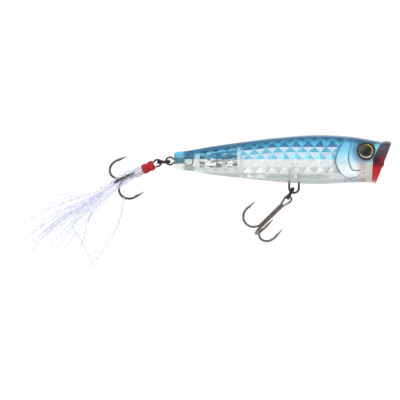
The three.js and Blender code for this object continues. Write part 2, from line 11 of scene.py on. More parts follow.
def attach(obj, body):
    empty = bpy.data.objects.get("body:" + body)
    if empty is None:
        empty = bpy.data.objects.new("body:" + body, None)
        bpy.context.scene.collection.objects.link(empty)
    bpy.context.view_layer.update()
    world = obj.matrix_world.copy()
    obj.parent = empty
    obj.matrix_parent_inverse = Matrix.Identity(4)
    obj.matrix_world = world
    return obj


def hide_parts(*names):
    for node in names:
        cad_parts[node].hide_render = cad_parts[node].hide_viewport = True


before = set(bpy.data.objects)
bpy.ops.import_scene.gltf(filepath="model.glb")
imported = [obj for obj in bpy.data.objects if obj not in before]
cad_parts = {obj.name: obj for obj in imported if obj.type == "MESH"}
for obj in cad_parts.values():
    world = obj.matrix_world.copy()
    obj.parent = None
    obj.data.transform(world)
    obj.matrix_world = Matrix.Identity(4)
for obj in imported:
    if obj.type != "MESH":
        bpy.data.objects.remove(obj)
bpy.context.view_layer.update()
scene = bpy.context.scene
MM = 0.001
rng = np.random.default_rng(7)

# ------------------------------------------------------------------ the part's own dimensions
SIDES = {1: "left", -1: "right"}  # by the sign of Y
TAIL_X = -85.2
AXIS_Z = 1.33
WALL = 1.2
TAIL_ROUND = 1.1
ROUNDNESS = 2.15
HULL = np.array([  # distance from the tail face, height above the axis, depth below it, half width
    [0, 3.5, 3.9, 3.3], [16.5, 5.9, 6.1, 5.1], [31.5, 8.0, 7.8, 6.8], [46, 9.7, 9.2, 8.0],
    [60, 10.5, 9.8, 8.6], [74, 9.7, 9.2, 8.2], [84, 8.0, 9.1, 7.6], [92, 6.4, 8.9, 7.1],
])
RIM_X, RIM_SLOPE = 1.7, 0.387
BACK_X, LOWER_SLOPE, UPPER_SLOPE, KINK_Z = -2.75, 0.07, 0.4, 2.2
FLARE, LIP, DISH, BOWL_WALL, NECK, CREST = 0.75, 0.9, 5.6, 1.2, 0.66, 0.85
SMALL_WIRE, BELLY_WIRE = 0.75, 0.95
EYE_RING, POST_LOOP = 1.58, 1.8
TAIL_EYE, TAIL_POST, TIE_POST = (-86.9, 1.04), (-79.1, 0.95), (-11.2, 0.0)
POST_R = 1.1
BELLY_X, BELLY_LOW, BELLY_HIGH, BELLY_R = -35.44, -10.17, -3.6, 2.01
RING_R, RING_WIRE, RING_PITCH, RING_TURNS = 2.6, 0.62, 0.71, 1.9
HOOK_LENGTH, HOOK_WIRE, HOOK_EYE, HOOK_EYE_WIRE = 21.8, 0.95, 1.4, 0.8
HOOK_EYE_LENGTH, HOOK_SPREAD, HOOK_POINT = 5.4, 9.8, 3.6
TAIL_LEAN, TAIL_SHANK, BELLY_LEAN, BELLY_SHANK = 9, 25.4, 68, 44.5
BELLY_RING_TOP = (-36.0, -10.0)
TAIL_PLACES, BELLY_PLACES = (33.5, 153.5, 273.5), (100, 220, 340)
EYE_X, EYE_Z, EYE_TILT, EYE_TURN = -5.56, 5.27, 15, 5
CHAMBER_FRONT = -58.9
BALL_R, BALL_Z, BALL_X, BALL_SPACING, BALLS = 2.25, 0.7, -71.35, 4.55, 3
WRAP, COLLAR = (1.6, 6.9), (7.2, 10.2)  # along the rear shank, from the eye's middle
LOCKS = [  # place round the shank, strands, spread at the end, and (along, left, rise) from the eye
    (350, 14, 1.6, [(28, -0.4, 0.8), (46, -1.0, 2.6), (66, -1.5, 2.8)]),
    (316, 22, 1.9, [(30, -1.0, -1.4), (47, -1.6, -2.2), (67, -2.0, -6.4)]),
    (72, 26, 2.0, [(33, 2.0, -3.0), (47, 2.6, -4.6), (67, 3.4, -11.0)]),
    (240, 20, 2.8, [(26, -2.0, -3.2), (42, -3.4, -7.8), (61, -4.5, -17)]),
    (108, 8, 1.6, [(20.3, 2.0, -9.1), (26.1, 2.5, -15.8), (33.7, 3.0, -20.9),
                   (42.4, 4.0, -24.6), (56, 6, -31.5)]),
    (212, 7, 1.4, [(30, -2.6, -3.5),
                   (42, -3.0, -7.2), (43, -3, -11), (42.2, -3, -16.9), (42.6, -3, -29.7)]),
    (184, 8, 1.4, [(27.8, 0.6, -4.7), (34.4, 0.4, -7.6), (38.1, 0.0, -11.9),
                   (42.6, -1, -16.7), (52.9, -3, -26.6)]),
]

# ------------------------------------------------------------------ skins: (points, faces)
def rad(degrees):
    return math.radians(degrees)


def unit(v):
    return v / np.linalg.norm(v, axis=-1, keepdims=True)


def smoothstep(v, low, high):
    t = np.clip((v - low) / (high - low), 0, 1)
    return t * t * (3 - 2 * t)


def quads(rows, around, closed=True, ring=False):
    """Faces between rows of points. A row closes on itself if closed, and the last meets the first
    if ring."""
    faces = []
    for k in range(rows if ring else rows - 1):
        for j in range(around if closed else around - 1):
            here, above, beside = k * around, (k + 1) % rows * around, (j + 1) % around
            faces.append((here + j, here + beside, above + beside, above + j))
    return faces


def circle(radius, height, count):
    """Points round local Z."""
    angle = np.linspace(0, 2 * math.pi, count, endpoint=False)
    return np.c_[radius * np.cos(angle), radius * np.sin(angle), np.full(count, height)]


def loft(rows, first=None, last=None):
    """A closed skin through rings, with a fan at each end, to the ring's middle if no point is
    given."""
    rows = [np.asarray(r, float) for r in rows]
    m, n = len(rows[0]), len(rows)
    first = rows[0].mean(0) if first is None else first
    last = rows[-1].mean(0) if last is None else last
    points = np.vstack([*rows, first, last])
    faces = quads(n, m)
    faces += [(n * m, (j + 1) % m, j) for j in range(m)]
    end = (n - 1) * m
    faces += [(n * m + 1, end + j, end + (j + 1) % m) for j in range(m)]
    return points, faces


def lathe(profile, segments=48, ring=False):
    """Turns (radius, height) about local Z. A ring's profile closes on itself."""
    rows = [circle(r, h, segments) for r, h in profile if ring or r > 1e-6]
    if ring:
        return np.vstack(rows), quads(len(rows), segments, ring=True)
    return loft(rows, np.array([0, 0, profile[0][1]]), np.array([0, 0, profile[-1][1]]))


def even(path, step):
    """The same path with points every step."""
    path = np.asarray(path, float)
    length = np.r_[0, np.cumsum(np.linalg.norm(np.diff(path, axis=0), axis=1))]
    keep = np.r_[True, np.diff(length) > 1e-9]
    places = np.linspace(0, length[-1], max(int(length[-1] / step), 3) + 1)
    return np.c_[tuple(np.interp(places, length[keep], path[keep, i]) for i in range(3))]


def spline(points, count):
    """A smooth curve through points."""
    inner = np.asarray(points, float)
    p = np.vstack([2 * inner[0] - inner[1], inner, 2 * inner[-1] - inner[-2]])
    t = np.linspace(0, len(inner) - 1, count)
    i = np.minimum(t.astype(int), len(inner) - 2)
    u = (t - i)[:, None]
    a, b, c, d = p[i], p[i + 1], p[i + 2], p[i + 3]
    square, cube = 2 * a - 5 * b + 4 * c - d, 3 * b - a - 3 * c + d
    return 0.5 * (2 * b + (c - a) * u + square * u**2 + cube * u**3)


def frames_along(path, up):
    """Tangents, normals and sides that twist as little as they can."""
    tangent = unit(np.gradient(path, axis=0))
    normal = np.empty_like(path)
    n = np.asarray(up, float)
    for k, t in enumerate(tangent):
        n = unit(n - t * (n @ t))
        normal[k] = n
    return tangent, normal, np.cross(tangent, normal)


def tube(path, radius, sides=12, flat=1.0, up=(0.1, 1, 0.2)):
    """A round-ended solid along a path. radius is one number or one for each point; flat squeezes
    it sideways."""
    path = np.asarray(path, float)
    radius = np.broadcast_to(np.asarray(radius, float), len(path))
    tangent, normal, side = frames_along(path, up)
    angle = np.linspace(0, 2 * math.pi, sides, endpoint=False)

    def ring(k, shift=0.0, share=1.0):
        around = np.outer(np.cos(angle), normal[k]) + flat * np.outer(np.sin(angle), side[k])
        return path[k] + tangent[k] * shift + radius[k] * share * around

    rows = [ring(0, -0.6 * radius[0], 0.75), *(ring(k) for k in range(len(path))),
            ring(-1, 0.6 * radius[-1], 0.75)]
    ends = [path[k] + reach * radius[k] * tangent[k] for k, reach in ((0, -0.9), (-1, 0.9))]
    return loft(rows, *ends)


def arc(centre, radius, start, stop, count=24):
    """Points in the side view, from one angle to another: 0 degrees is +X and 90 is +Z."""
    a = np.radians(np.linspace(start, stop, count))
    return np.c_[centre[0] + radius * np.cos(a), np.zeros(count), centre[1] + radius * np.sin(a)]


def moved(skin, matrix):
    points, faces = skin
    m = np.array(matrix)
    return points @ m[:3, :3].T + m[:3, 3], faces


class Piece:
    """One visible piece, gathered from skins."""

    def __init__(self, name):
        self.name = name
        self.points, self.faces, self.slots, self.smooth = [], [], [], []
        self.tints, self.values = [], []
        self.count = 0

    def add(self, skin, slot=0, smooth=True, tint=(1, 1, 1), values=None):
        points, faces = skin
        self.points.append(points)
        self.faces += [tuple(i + self.count for i in f) for f in faces]
        self.slots += [slot] * len(faces)
        self.smooth += [smooth] * len(faces)
        self.tints += tint if isinstance(tint, list) else [tint] * len(faces)
        self.values.append(np.zeros((len(points), 3)) if values is None else values)
        self.count += len(points)
        return self

    def make(self, materials, body, nodes, slot, sharp=40):
        """The finished object: it rides on body and stands for CAD nodes. Edges turned by more than
        sharp degrees stay crisp."""
        mesh = bpy.data.meshes.new(self.name)
        mesh.from_pydata((np.vstack(self.points) * MM).tolist(), [], self.faces)
        mesh.polygons.foreach_set("material_index", self.slots)
        mesh.polygons.foreach_set("use_smooth", self.smooth)
        tint = mesh.attributes.new("tint", "FLOAT_COLOR", "CORNER")
        sizes = [len(f) for f in self.faces]
        colours = np.repeat(np.array([(*linear(t), 1.0) for t in self.tints]), sizes, axis=0)
        tint.data.foreach_set("color", colours.astype(np.float32).ravel())
        place = mesh.attributes.new("place", "FLOAT_VECTOR", "POINT")
        place.data.foreach_set("vector", np.vstack(self.values).astype(np.float32).ravel())
        bm = bmesh.new()
        bm.from_mesh(mesh)
        bmesh.ops.remove_doubles(bm, verts=bm.verts, dist=2e-7)
        bmesh.ops.dissolve_degenerate(bm, edges=bm.edges, dist=1e-7)
        bmesh.ops.recalc_face_normals(bm, faces=bm.faces)
        bm.to_mesh(mesh)
        bm.free()
        mesh.set_sharp_from_angle(angle=rad(sharp))
        obj = bpy.data.objects.new(self.name, mesh)
        scene.collection.objects.link(obj)
        for m in materials:
            mesh.materials.append(m)
        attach(obj, body)
        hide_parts(*nodes)
        return obj


# ------------------------------------------------------------------ materials
def linear(colour):
    """An sRGB colour from 0 to 255, or a share from 0 to 1, as light."""
    c = np.asarray(colour, float)
    c = c / 255 if c.max() > 1 else c
    return tuple(np.where(c <= 0.04045, c / 12.92, ((c + 0.055) / 1.055) ** 2.4))


class Graph:
    """A material's nodes. Every helper returns the socket that carries its result."""

    def __init__(self, name, **sockets):
        self.material = bpy.data.materials.new(name)
        self.material.use_nodes = True
        self.nodes, self.links = self.material.node_tree.nodes, self.material.node_tree.links
        self.shader = next(n for n in self.nodes if n.type == "BSDF_PRINCIPLED")
        self.set(**sockets)

    def put(self, socket, value):
        if isinstance(value, bpy.types.NodeSocket):
            self.links.new(value, socket)
        elif socket.type == "RGBA":
            socket.default_value = (*linear(value), 1)
        else:
            socket.default_value = value

    def node(self, kind, out=0, inputs=(), **settings):
        node = self.nodes.new(kind)
        for key, value in settings.items():
            setattr(node, key, value)
        for key, value in dict(inputs).items():
            self.put(node.inputs[key], value)
        return node.outputs[out]

    def position(self):
        """Object coordinates in millimetres: (x, y, z) sockets."""
        where = self.node("ShaderNodeTexCoord", "Object")
        to_mm = {0: where, 1: (1 / MM,) * 3}
        scaled = self.node("ShaderNodeVectorMath", 0, to_mm, operation="MULTIPLY")
        split = self.nodes.new("ShaderNodeSeparateXYZ")
        self.links.new(scaled, split.inputs[0])
        return split.outputs, scaled

    def tint(self):
        return self.node("ShaderNodeAttribute", "Color", attribute_name="tint")

    def place(self):
        """The mesh's own place values, as three sockets."""
        vector = self.node("ShaderNodeAttribute", "Vector", attribute_name="place")
        split = self.nodes.new("ShaderNodeSeparateXYZ")
        self.links.new(vector, split.inputs[0])
        return split.outputs

    def math(self, operation, a, b=0.0, clamp=False):
        return self.node("ShaderNodeMath", 0, {0: a, 1: b}, operation=operation, use_clamp=clamp)

    def times(self, product, *factors):
        for factor in factors:
            product = self.math("MULTIPLY", product, factor)
        return product

    def plus(self, a, b):
        return self.math("ADD", a, b)

    def minus(self, a, b):
        return self.math("SUBTRACT", a, b)

    def step(self, value, low, high, start=0.0, stop=1.0):
        """Rises smoothly from start to stop as value goes from low to high."""
        return self.node(
            "ShaderNodeMapRange", 0,
            {"Value": value, "From Min": low, "From Max": high, "To Min": start, "To Max": stop},
            interpolation_type="SMOOTHSTEP",
        )

    def band(self, value, *edges):
        """A rise and a fall: the product of steps over the two pairs of edges."""
        return self.times(self.step(value, *edges[:2]), self.step(value, *edges[2:]))

    def mix(self, share, a, b):
        node = self.nodes.new("ShaderNodeMix")
        node.data_type = "RGBA"
        for key, value in ((0, share), (6, a), (7, b)):
            self.put(node.inputs[key], value)
        return node.outputs[2]

    def blend(self, share, a, b):
        """A number between a and b."""
        return self.node("ShaderNodeMix", 0, {0: share, 2: a, 3: b}, data_type="FLOAT")

    def ramp(self, value, low, high, stops):
        """Colours at places between low and high."""
        limits = {"Value": value, "From Min": low, "From Max": high}
        share = self.node("ShaderNodeMapRange", 0, limits)
        node = self.nodes.new("ShaderNodeValToRGB")
        self.links.new(share, node.inputs[0])
        elements = node.color_ramp.elements
        while len(elements) < len(stops):
            elements.new(0.5)
        for element, (place, colour) in zip(elements, stops):
            element.position = (place - low) / (high - low)
            element.color = (*linear(colour), 1)
        return node.outputs[0]

    def noise(self, scale, vector=None, detail=3.0, distortion=0.0):
        inputs = {"Scale": scale, "Detail": detail, "Distortion": distortion}
        if vector is not None:
            inputs["Vector"] = vector
        return self.node("ShaderNodeTexNoise", 0, inputs)

    def bump(self, height, strength, distance):
        inputs = {"Strength": strength, "Distance": distance, "Height": height}
        self.put(self.shader.inputs["Normal"], self.node("ShaderNodeBump", 0, inputs))

    def set(self, **sockets):
        for key, value in sockets.items():
            self.put(self.shader.inputs[key.replace("_", " ")], value)


# ------------------------------------------------------------------ camera, light and floor
# all of this in metres
VIEW_WIDTH, VIEW_X, VIEW_Z, VIEW_DISTANCE = 0.16588, -0.07444, -0.01514, 0.5
FLOOR_HALF, FLOOR_Z = 3, -0.14
BELOW, ABOVE, BACKDROP = 0.52, 0.84, 1.05  # the world's strength by height, and to the camera

camera = bpy.data.objects.new("camera", bpy.data.cameras.new("camera"))
camera.data.type = "ORTHO"
camera.data.ortho_scale = VIEW_WIDTH
camera.location = (VIEW_X, -VIEW_DISTANCE, VIEW_Z)
camera.rotation_euler = (math.pi / 2, 0, 0)
camera.data.clip_start, camera.data.clip_end = 0.01, 20
scene.collection.objects.link(camera)
scene.camera = camera
scene.view_settings.view_transform = "Standard"
scene.cycles.transparent_max_bounces = 48


def area_light(name, place, aim, size, power):
    """A soft box that faces aim."""
    data = bpy.data.lights.new(name, "AREA")
    data.shape, data.size, data.size_y, data.energy = "RECTANGLE", *size, power
    lamp = bpy.data.objects.new(name, data)
    lamp.location = place
    lamp.rotation_euler = (Vector(aim) - Vector(place)).to_track_quat("-Z", "Y").to_euler()
    scene.collection.objects.link(lamp)


middle = (-0.06, 0, -0.01)
area_light("top_box", (-0.06, -0.15, 0.4), middle, (0.45, 0.2), 0.55)
area_light("front_box", (-0.26, -0.44, 0.38), middle, (0.18, 0.16), 1.0)
area_light("side_box", (0.35, -0.45, 0.1), middle, (0.15, 0.3), 0.3)
area_light("back_box", (0.1, 0.5, 0.35), middle, (0.4, 0.3), 0.5)

world = bpy.data.worlds.new("studio")
scene.world = world
world.use_nodes = True
tree = world.node_tree
background = next(n for n in tree.nodes if n.type == "BACKGROUND")
where = tree.nodes.new("ShaderNodeTexCoord")
split = tree.nodes.new("ShaderNodeSeparateXYZ")
tree.links.new(where.outputs["Generated"], split.inputs[0])
height = tree.nodes.new("ShaderNodeMapRange")
tree.links.new(split.outputs[2], height.inputs["Value"])
height.inputs["From Min"].default_value = -1
height.inputs["To Min"].default_value = BELOW
height.inputs["To Max"].default_value = ABOVE
seen = tree.nodes.new("ShaderNodeLightPath")
pick = tree.nodes.new("ShaderNodeMix")
pick.data_type = "FLOAT"
pick.inputs[3].default_value = BACKDROP
tree.links.new(seen.outputs["Is Camera Ray"], pick.inputs[0])
tree.links.new(height.outputs[0], pick.inputs[2])
tree.links.new(pick.outputs[0], background.inputs["Strength"])
background.inputs["Color"].default_value = (1, 1, 1, 1)

floor_mesh = bpy.data.meshes.new("floor")
corners = [(x * FLOOR_HALF, y * FLOOR_HALF, FLOOR_Z)
           for x, y in ((-1, -1), (1, -1), (1, 1), (-1, 1))]
floor_mesh.from_pydata(corners, [], [(0, 1, 2, 3)])
floor = bpy.data.objects.new("floor", floor_mesh)
scene.collection.objects.link(floor)
floor_look = Graph("pale_floor", Base_Color=(0.97, 0.97, 0.97), Roughness=0.8)
floor_mesh.materials.append(floor_look.material)


# ------------------------------------------------------------------ the hull's shape
def hull_at(x, inset=0.0):
    """The hull's top, bottom and half width at x, drawn in by inset."""
    t = np.clip(np.atleast_1d(np.asarray(x, float)) - TAIL_X, 0, HULL[-1, 0])
    places = HULL[:, 0]
    i = np.clip(np.searchsorted(places, t, side="right"), 1, len(places) - 1)
    ahead = np.where(i + 1 < len(places), i + 1, i - 1)
    behind = np.where(i >= 2, i - 2, i)
    t0, t1 = places[i - 1], places[i]
    last = len(places) - 1
    t_next = np.where(i < last, places[np.minimum(i + 1, last)], 2 * t1 - t0)
    t_prev = np.where(i >= 2, places[np.maximum(i - 2, 0)], 2 * t0 - t1)
    half = (t1 - t0) / 2
    wp, wn = half / (t0 - t_prev), half / (t_next - t1)
    p = (t - t0) / (t1 - t0)
    sp = -wp * p**3 + 2 * wp * p**2 - wp * p
    s0 = (1 + wp) * p**3 + (-1.5 - 2 * wp) * p**2 + (-0.5 + wp) * p + 1
    s1 = (-1 - wn) * p**3 + (1.5 + wn) * p**2 + 0.5 * p
    sn = wn * p**3 - wn * p**2
    rows = [s[:, None] * HULL[k, 1:] for s, k in ((sp, behind), (s0, i - 1), (s1, i), (sn, ahead))]
    short = np.maximum(TAIL_ROUND - t, 0)
    rounding = TAIL_ROUND - np.sqrt(TAIL_ROUND**2 - short**2)
    return sum(rows).T - inset - rounding


def hull_points(x, angle, inset=0.0, scale=1.0):
    """Points of the hull's section at each x and angle: 0 is +Y and 90 degrees is up."""
    top, bottom, width = hull_at(x, inset)
    c, s = np.cos(angle), np.sin(angle)
    y = scale * width * np.sign(c) * np.abs(c) ** (2 / ROUNDNESS)
    z = AXIS_Z + scale * np.where(s > 0, top, bottom) * np.sign(s) * np.abs(s) ** (2 / ROUNDNESS)
    return np.c_[np.broadcast_to(x, y.shape), y, z]


def half_width(x, z, inset=0.0):
    """How far the hull's surface lies from the middle plane at x and z, and no less than a hair."""
    top, bottom, width = hull_at(x, inset)
    z = np.asarray(z, float)
    share = np.abs(z - AXIS_Z) / np.where(z > AXIS_Z, top, bottom)
    return np.maximum(width * np.maximum(1 - share**ROUNDNESS, 0) ** (1 / ROUNDNESS), 0.12)


def band_back(z):
    return BACK_X + LOWER_SLOPE * z + UPPER_SLOPE * np.maximum(z - KINK_Z, 0)


def band_rim(z):
    return RIM_X + RIM_SLOPE * z


def on_flank(points, side, lift=0.0, count=40):
    """A smooth side-view line laid on one flank, lifted off it."""
    flat = np.array([(x, 0, z) for x, z in points], float)
    path = spline(flat, count)
    path[:, 1] = side * half_width(path[:, 0], path[:, 2], -lift)
    return path


# side-view lines of the gill cover: the painted head starts at the first
GILL = [(-13.9, 10.9), (-15.0, 9.2), (-17.2, 5.2), (-18.2, 1.4), (-17.7, -1.2), (-16.2, -4.0),
        (-13.4, -5.9), (-10.6, -5.8), (-8.3, -4.9)]
INNER_GILL = [(-11.2, 9.4), (-11.6, 8.5), (-12.6, 4.9), (-12.8, 1.5), (-11.9, -1.6),
              (-10.7, -2.8), (-8.1, -2.8)]
GILL_EDGE = np.array([*GILL[:6], (-15.0, -6.2), (-14.6, -12)])[::-1]


def ahead_of_gill(x, z):
    smooth = spline(np.c_[GILL_EDGE[:, 0], 0 * GILL_EDGE[:, 0], GILL_EDGE[:, 1]], 120)
    return x - np.interp(z, smooth[:, 2], smooth[:, 0])


# ------------------------------------------------------------------ clear shell
PAINT_Z = 1.75  # the blue paint's lower edge


def body_paint(g, x, z, spot, under_back):
    """Colour and opacity behind the gill cover."""
    wobble = g.times(g.minus(g.noise(0.35, spot, 2), 0.5), 0.32)
    back = g.step(g.plus(under_back, wobble), 1.5, 1.05)
    blue = g.step(z, PAINT_Z - 0.12, PAINT_Z + 0.12)
    # the smoky belly starts lower under the plate's extra row, and higher in the chamber
    rear, chamber = g.step(x, -46.4, -46.9), g.step(x, -57.8, -58.4)
    belly_edge = g.minus(g.times(rear, 2.0), g.times(chamber, 2.65))
    belly = g.step(g.plus(z, belly_edge), -3.9, -4.2)
    tip = g.step(x, -76.0, -79.0)
    tip_blue = g.mix(g.step(z, 3.2, 2.2), (96, 196, 230), (62, 158, 176))
    cyan = g.mix(tip, (96, 176, 212), tip_blue)
    slate = g.ramp(under_back, 0, 2.6, [
        (0.0, (88, 132, 156)), (0.5, (58, 104, 138)), (1.2, (44, 92, 134)), (2.6, (52, 112, 156))])
    low = g.ramp(z, -9, 2, [
        (-9, (178, 190, 191)), (-7.4, (210, 219, 219)), (-6.4, (212, 220, 219)),
        (-5.4, (188, 201, 199)), (-4, (212, 221, 219)), (-3.8, (238, 242, 241)),
        (0, (244, 247, 247))])
    throat = g.times(g.step(x, -23.0, -19.5), g.step(z, -7.0, -6.0))
    low = g.mix(throat, low, (240, 244, 243))
    colour = g.mix(blue, low, cyan)
    colour = g.mix(g.times(back, g.minus(1.0, g.times(tip, 0.75))), colour, slate)
    opacity = g.blend(blue, 0.08, 0.12)
    opacity = g.blend(belly, opacity, 0.5)
    opacity = g.blend(tip, opacity, g.blend(blue, 0.18, 0.42))
    groove_height = g.math("ABSOLUTE", g.minus(z, 0.98))
    groove = g.times(g.step(groove_height, 0.95, 0.6), g.step(x, -80.2, -81.2))
    colour = g.mix(groove, colour, (64, 128, 142))
    opacity = g.blend(groove, opacity, 0.55)
    # dark blue painted as the web's shade between the tail tip and the web, and grey below the post
    patch = g.band(x, -82.2, -80.2, -76.2, -77.2)
    web_shade_patch = g.times(patch, g.step(z, 1.5, 2.4))
    lower_patch = g.times(patch, g.band(z, -0.6, -1.2, -3.6, -2.6))
    colour = g.mix(lower_patch, colour, (172, 188, 190))
    colour = g.mix(web_shade_patch, colour, (44, 104, 140))
    opacity = g.blend(g.math("MAXIMUM", web_shade_patch, lower_patch), opacity, 0.6)
    return colour, g.blend(back, opacity, 0.95)


def head_paint(g, x, z, spot, under_back):
    """Colour and opacity ahead of the gill cover's edge."""
    colour = g.ramp(z, -9, 12, [
        (-8, (205, 210, 212)), (-6.7, (178, 188, 190)), (-5.8, (228, 233, 233)),
        (-4.6, (250, 252, 252)), (-1.2, (232, 240, 241)), (0.4, (206, 228, 236)),
        (2.5, (170, 222, 240)), (5.2, (130, 206, 233)), (8.2, (92, 176, 214)),
        (9.8, (72, 138, 178)), (11.5, (84, 124, 156))])
    streak = g.noise(1.1, spot, 4, 0.6)
    streaks = g.times(g.step(z, 8.0, 6.5), g.step(streak, 0.52, 0.7, 0, 0.35))
    colour = g.mix(streaks, colour, (236, 246, 250))
    # navy round the eye and up to the mouth, and a darker brow
    aside, above = (g.math("POWER", g.minus(a, b), 2.0) for a, b in ((x, EYE_X), (z, EYE_Z)))
    halo = g.step(g.math("SQRT", g.plus(aside, above)), 7.6, 4.2, 0.0, 0.85)
    navy = g.math("MAXIMUM", halo, g.times(g.step(x, -11.5, -8.0), g.step(z, 6.4, 8.4)))
    colour = g.mix(g.times(navy, 0.8), colour, (26, 80, 114))
    brow = g.times(g.step(under_back, 2.8, 1.5), g.step(x, -15.5, -12.0), 0.8)
    colour = g.mix(brow, colour, (44, 84, 114))
    low_front = g.step(z, 1.4, -0.6)
    # pink painted as the red cup's reflection, streaked, low on the cheek ahead of the clear zone
    pink_reflection = g.times(low_front, g.band(x, -10.2, -7.2, -5.2, -6.2))
    colour = g.mix(g.times(pink_reflection, g.step(streak, 0.4, 0.6, 0.35, 0.9)), colour, (206, 168, 176))
    clear = g.times(low_front, g.step(x, -6.2, -5.2))
    colour = g.mix(clear, colour, (206, 218, 202))
    bright = g.times(g.step(x, -2.5, -1.5), g.band(z, 2.0, 4.0, 8.5, 7.7), 0.85)
    colour = g.mix(bright, colour, (112, 208, 228))
    opacity = g.blend(g.math("MAXIMUM", pink_reflection, clear), 0.93, 0.74)
    return colour, g.blend(g.step(z, -4.8, -6.0), opacity, 0.62)


def shell_paint():
    """Translucent blue paint over the back, a pearly head and smoky clear plastic below."""
    g = Graph("shell_plastic", Roughness=0.22, IOR=1.42, Specular_IOR_Level=0.28)
    (x, _, z), spot = g.position()
    under_back, ahead, _ = g.place()
    body, opacity = body_paint(g, x, z, spot, under_back)
    head, head_opacity = head_paint(g, x, z, spot, under_back)
    in_head = g.step(ahead, -0.12, 0.12)
    g.set(Base_Color=g.mix(in_head, body, head), Alpha=g.blend(in_head, opacity, head_opacity))
    g.bump(g.noise(0.8, spot, 2), 0.05, 0.0002)
    return g.material


def moulded_plastic():
    """Ribs, webs and posts inside: the same plastic, paler where it is thick."""
    g = Graph("moulded_ribs", Roughness=0.3, IOR=1.45, Alpha=0.8)
    (x, _, z), spot = g.position()
    ahead = g.math("MINIMUM", g.plus(x, 76.0), 18.0)
    blue = g.step(g.minus(z, g.times(ahead, 0.13)), 0.2, 5.0)  # the paint's edge rises ahead
    cloud = g.noise(0.9, spot, 3)
    clouded = g.step(cloud, 0.35, 0.7)
    pale = g.mix(clouded, (218, 227, 222), (236, 241, 236))
    sky = g.mix(clouded, (96, 186, 218), (130, 208, 232))
    g.set(Base_Color=g.mix(blue, pale, sky))
    g.bump(cloud, 0.1, 0.0002)
    return g.material


def clouded(g, cloud, shade, low=0.35, high=0.65):
    """The mesh's own tint, with clouds darkened to a share of it."""
    darker = g.node("ShaderNodeHueSaturation", 0, {"Value": shade, "Color": g.tint()})
    g.set(Base_Color=g.mix(g.step(cloud, low, high), darker, g.tint()))


def tinted(name, metallic=0.0, alpha=1.0, grain=0.0, coat=0.0):
    """A surface coloured by its facets' own tint, with a fine cloud over it."""
    g = Graph(name, Roughness=0.2, Metallic=metallic, Alpha=alpha, Coat_Weight=coat,
              Coat_Roughness=0.05, Specular_IOR_Level=0.3)
    clouded(g, g.noise(2.2, g.position()[1], 3), 1 - grain)
    return g.material


def plain(name, colour, grain):
    """One colour with a cloud of a slightly darker one and a faint bump."""
    g = Graph(name, Roughness=0.3)
    cloud = g.noise(1.5, g.position()[1], 4)
    low = tuple(c * (1 - grain) for c in colour)
    g.set(Base_Color=g.mix(g.step(cloud, 0.3, 0.7), low, colour))
    g.bump(cloud, 0.08, 0.0001)
    return g.material


def eye_matrix(side):
    """Local Z is the eye's outward normal, at the hull's surface."""
    out = Matrix.Rotation(-side * rad(EYE_TURN), 3, "Z") @ (
        Matrix.Rotation(-side * (math.pi / 2 - rad(EYE_TILT)), 3, "X") @ Vector((0, 0, 1)))
    turned = Vector((0, 0, 1)).rotation_difference(out).to_matrix().to_4x4()
    surface = Vector((EYE_X, side * half_width(EYE_X, EYE_Z)[0], EYE_Z))
    return Matrix.Translation(surface) @ turned


def sunk_socket(points, side, depth):
    """Presses the skin in under the eye."""
    m = np.array(eye_matrix(side).inverted())
    local = points @ m[:3, :3].T + m[:3, 3]
    reach = np.hypot(local[:, 0], local[:, 1])
    floor_share = 1 - smoothstep(reach, 3.3, 3.75)
    near = (points[:, 1] * side > 0) & (np.abs(local[:, 2]) < 4)
    drop = np.where(near, floor_share * np.minimum(-depth - local[:, 2], 0), 0)
    out = np.array(eye_matrix(side))[:3, 2]
    return points + drop[:, None] * out


def flank_angles(side, count):
    """Angles round one side of a section, from the bottom to the top."""
    half = np.linspace(-math.pi / 2, math.pi / 2, count)
    return half if side > 0 else math.pi - half


def shell_rows(side, inset, start):
    """Half sections from the tail's middle to the band, as rows of points."""
    angle = flank_angles(side, 65)
    front = band_back(0) - TAIL_X
    steps = np.r_[0, 0.08, 0.22, 0.45, 0.75, TAIL_ROUND, np.arange(1.6, front, 0.42), front] / front
    rows = []
    for scale, share in [(0.0, 0.0), (0.5, 0.0), *((1.0, s) for s in steps)]:
        z = np.zeros(len(angle))
        for _ in range(4):  # the band's edge leans, so x and z settle together
            x = TAIL_X + start + share * (band_back(z) - 0.03 - TAIL_X - start)
            points = hull_points(x, angle, inset, scale)
            z = points[:, 2]
        points[:, 1] = side * np.maximum(points[:, 1] * side, 0.03)
        rows.append(points)
    return rows


def shell_skin(side):
    """One half of the shell: an inner skin, an outer skin, the front edge and the seam."""
    inner = [sunk_socket(r, side, 1.9) for r in shell_rows(side, WALL, 1.6)]
    outer = [sunk_socket(r, side, 0.85) for r in shell_rows(side, 0.0, 0.0)]
    rows = inner + outer[::-1]
    n, m = len(inner), len(inner[0])
    points = np.vstack(rows)
    faces = quads(2 * n, m, closed=False)
    for j in (0, m - 1):
        for k in range(n - 1):
            a, b = k * m + j, (k + 1) * m + j
            c, d = (2 * n - 2 - k) * m + j, (2 * n - 1 - k) * m + j
            faces.append((a, b, c, d))
    below_back = AXIS_Z + hull_at(points[:, 0])[0] - points[:, 2]
    values = np.c_[below_back, ahead_of_gill(points[:, 0], points[:, 2]), np.zeros(len(points))]
    return (points, faces), values


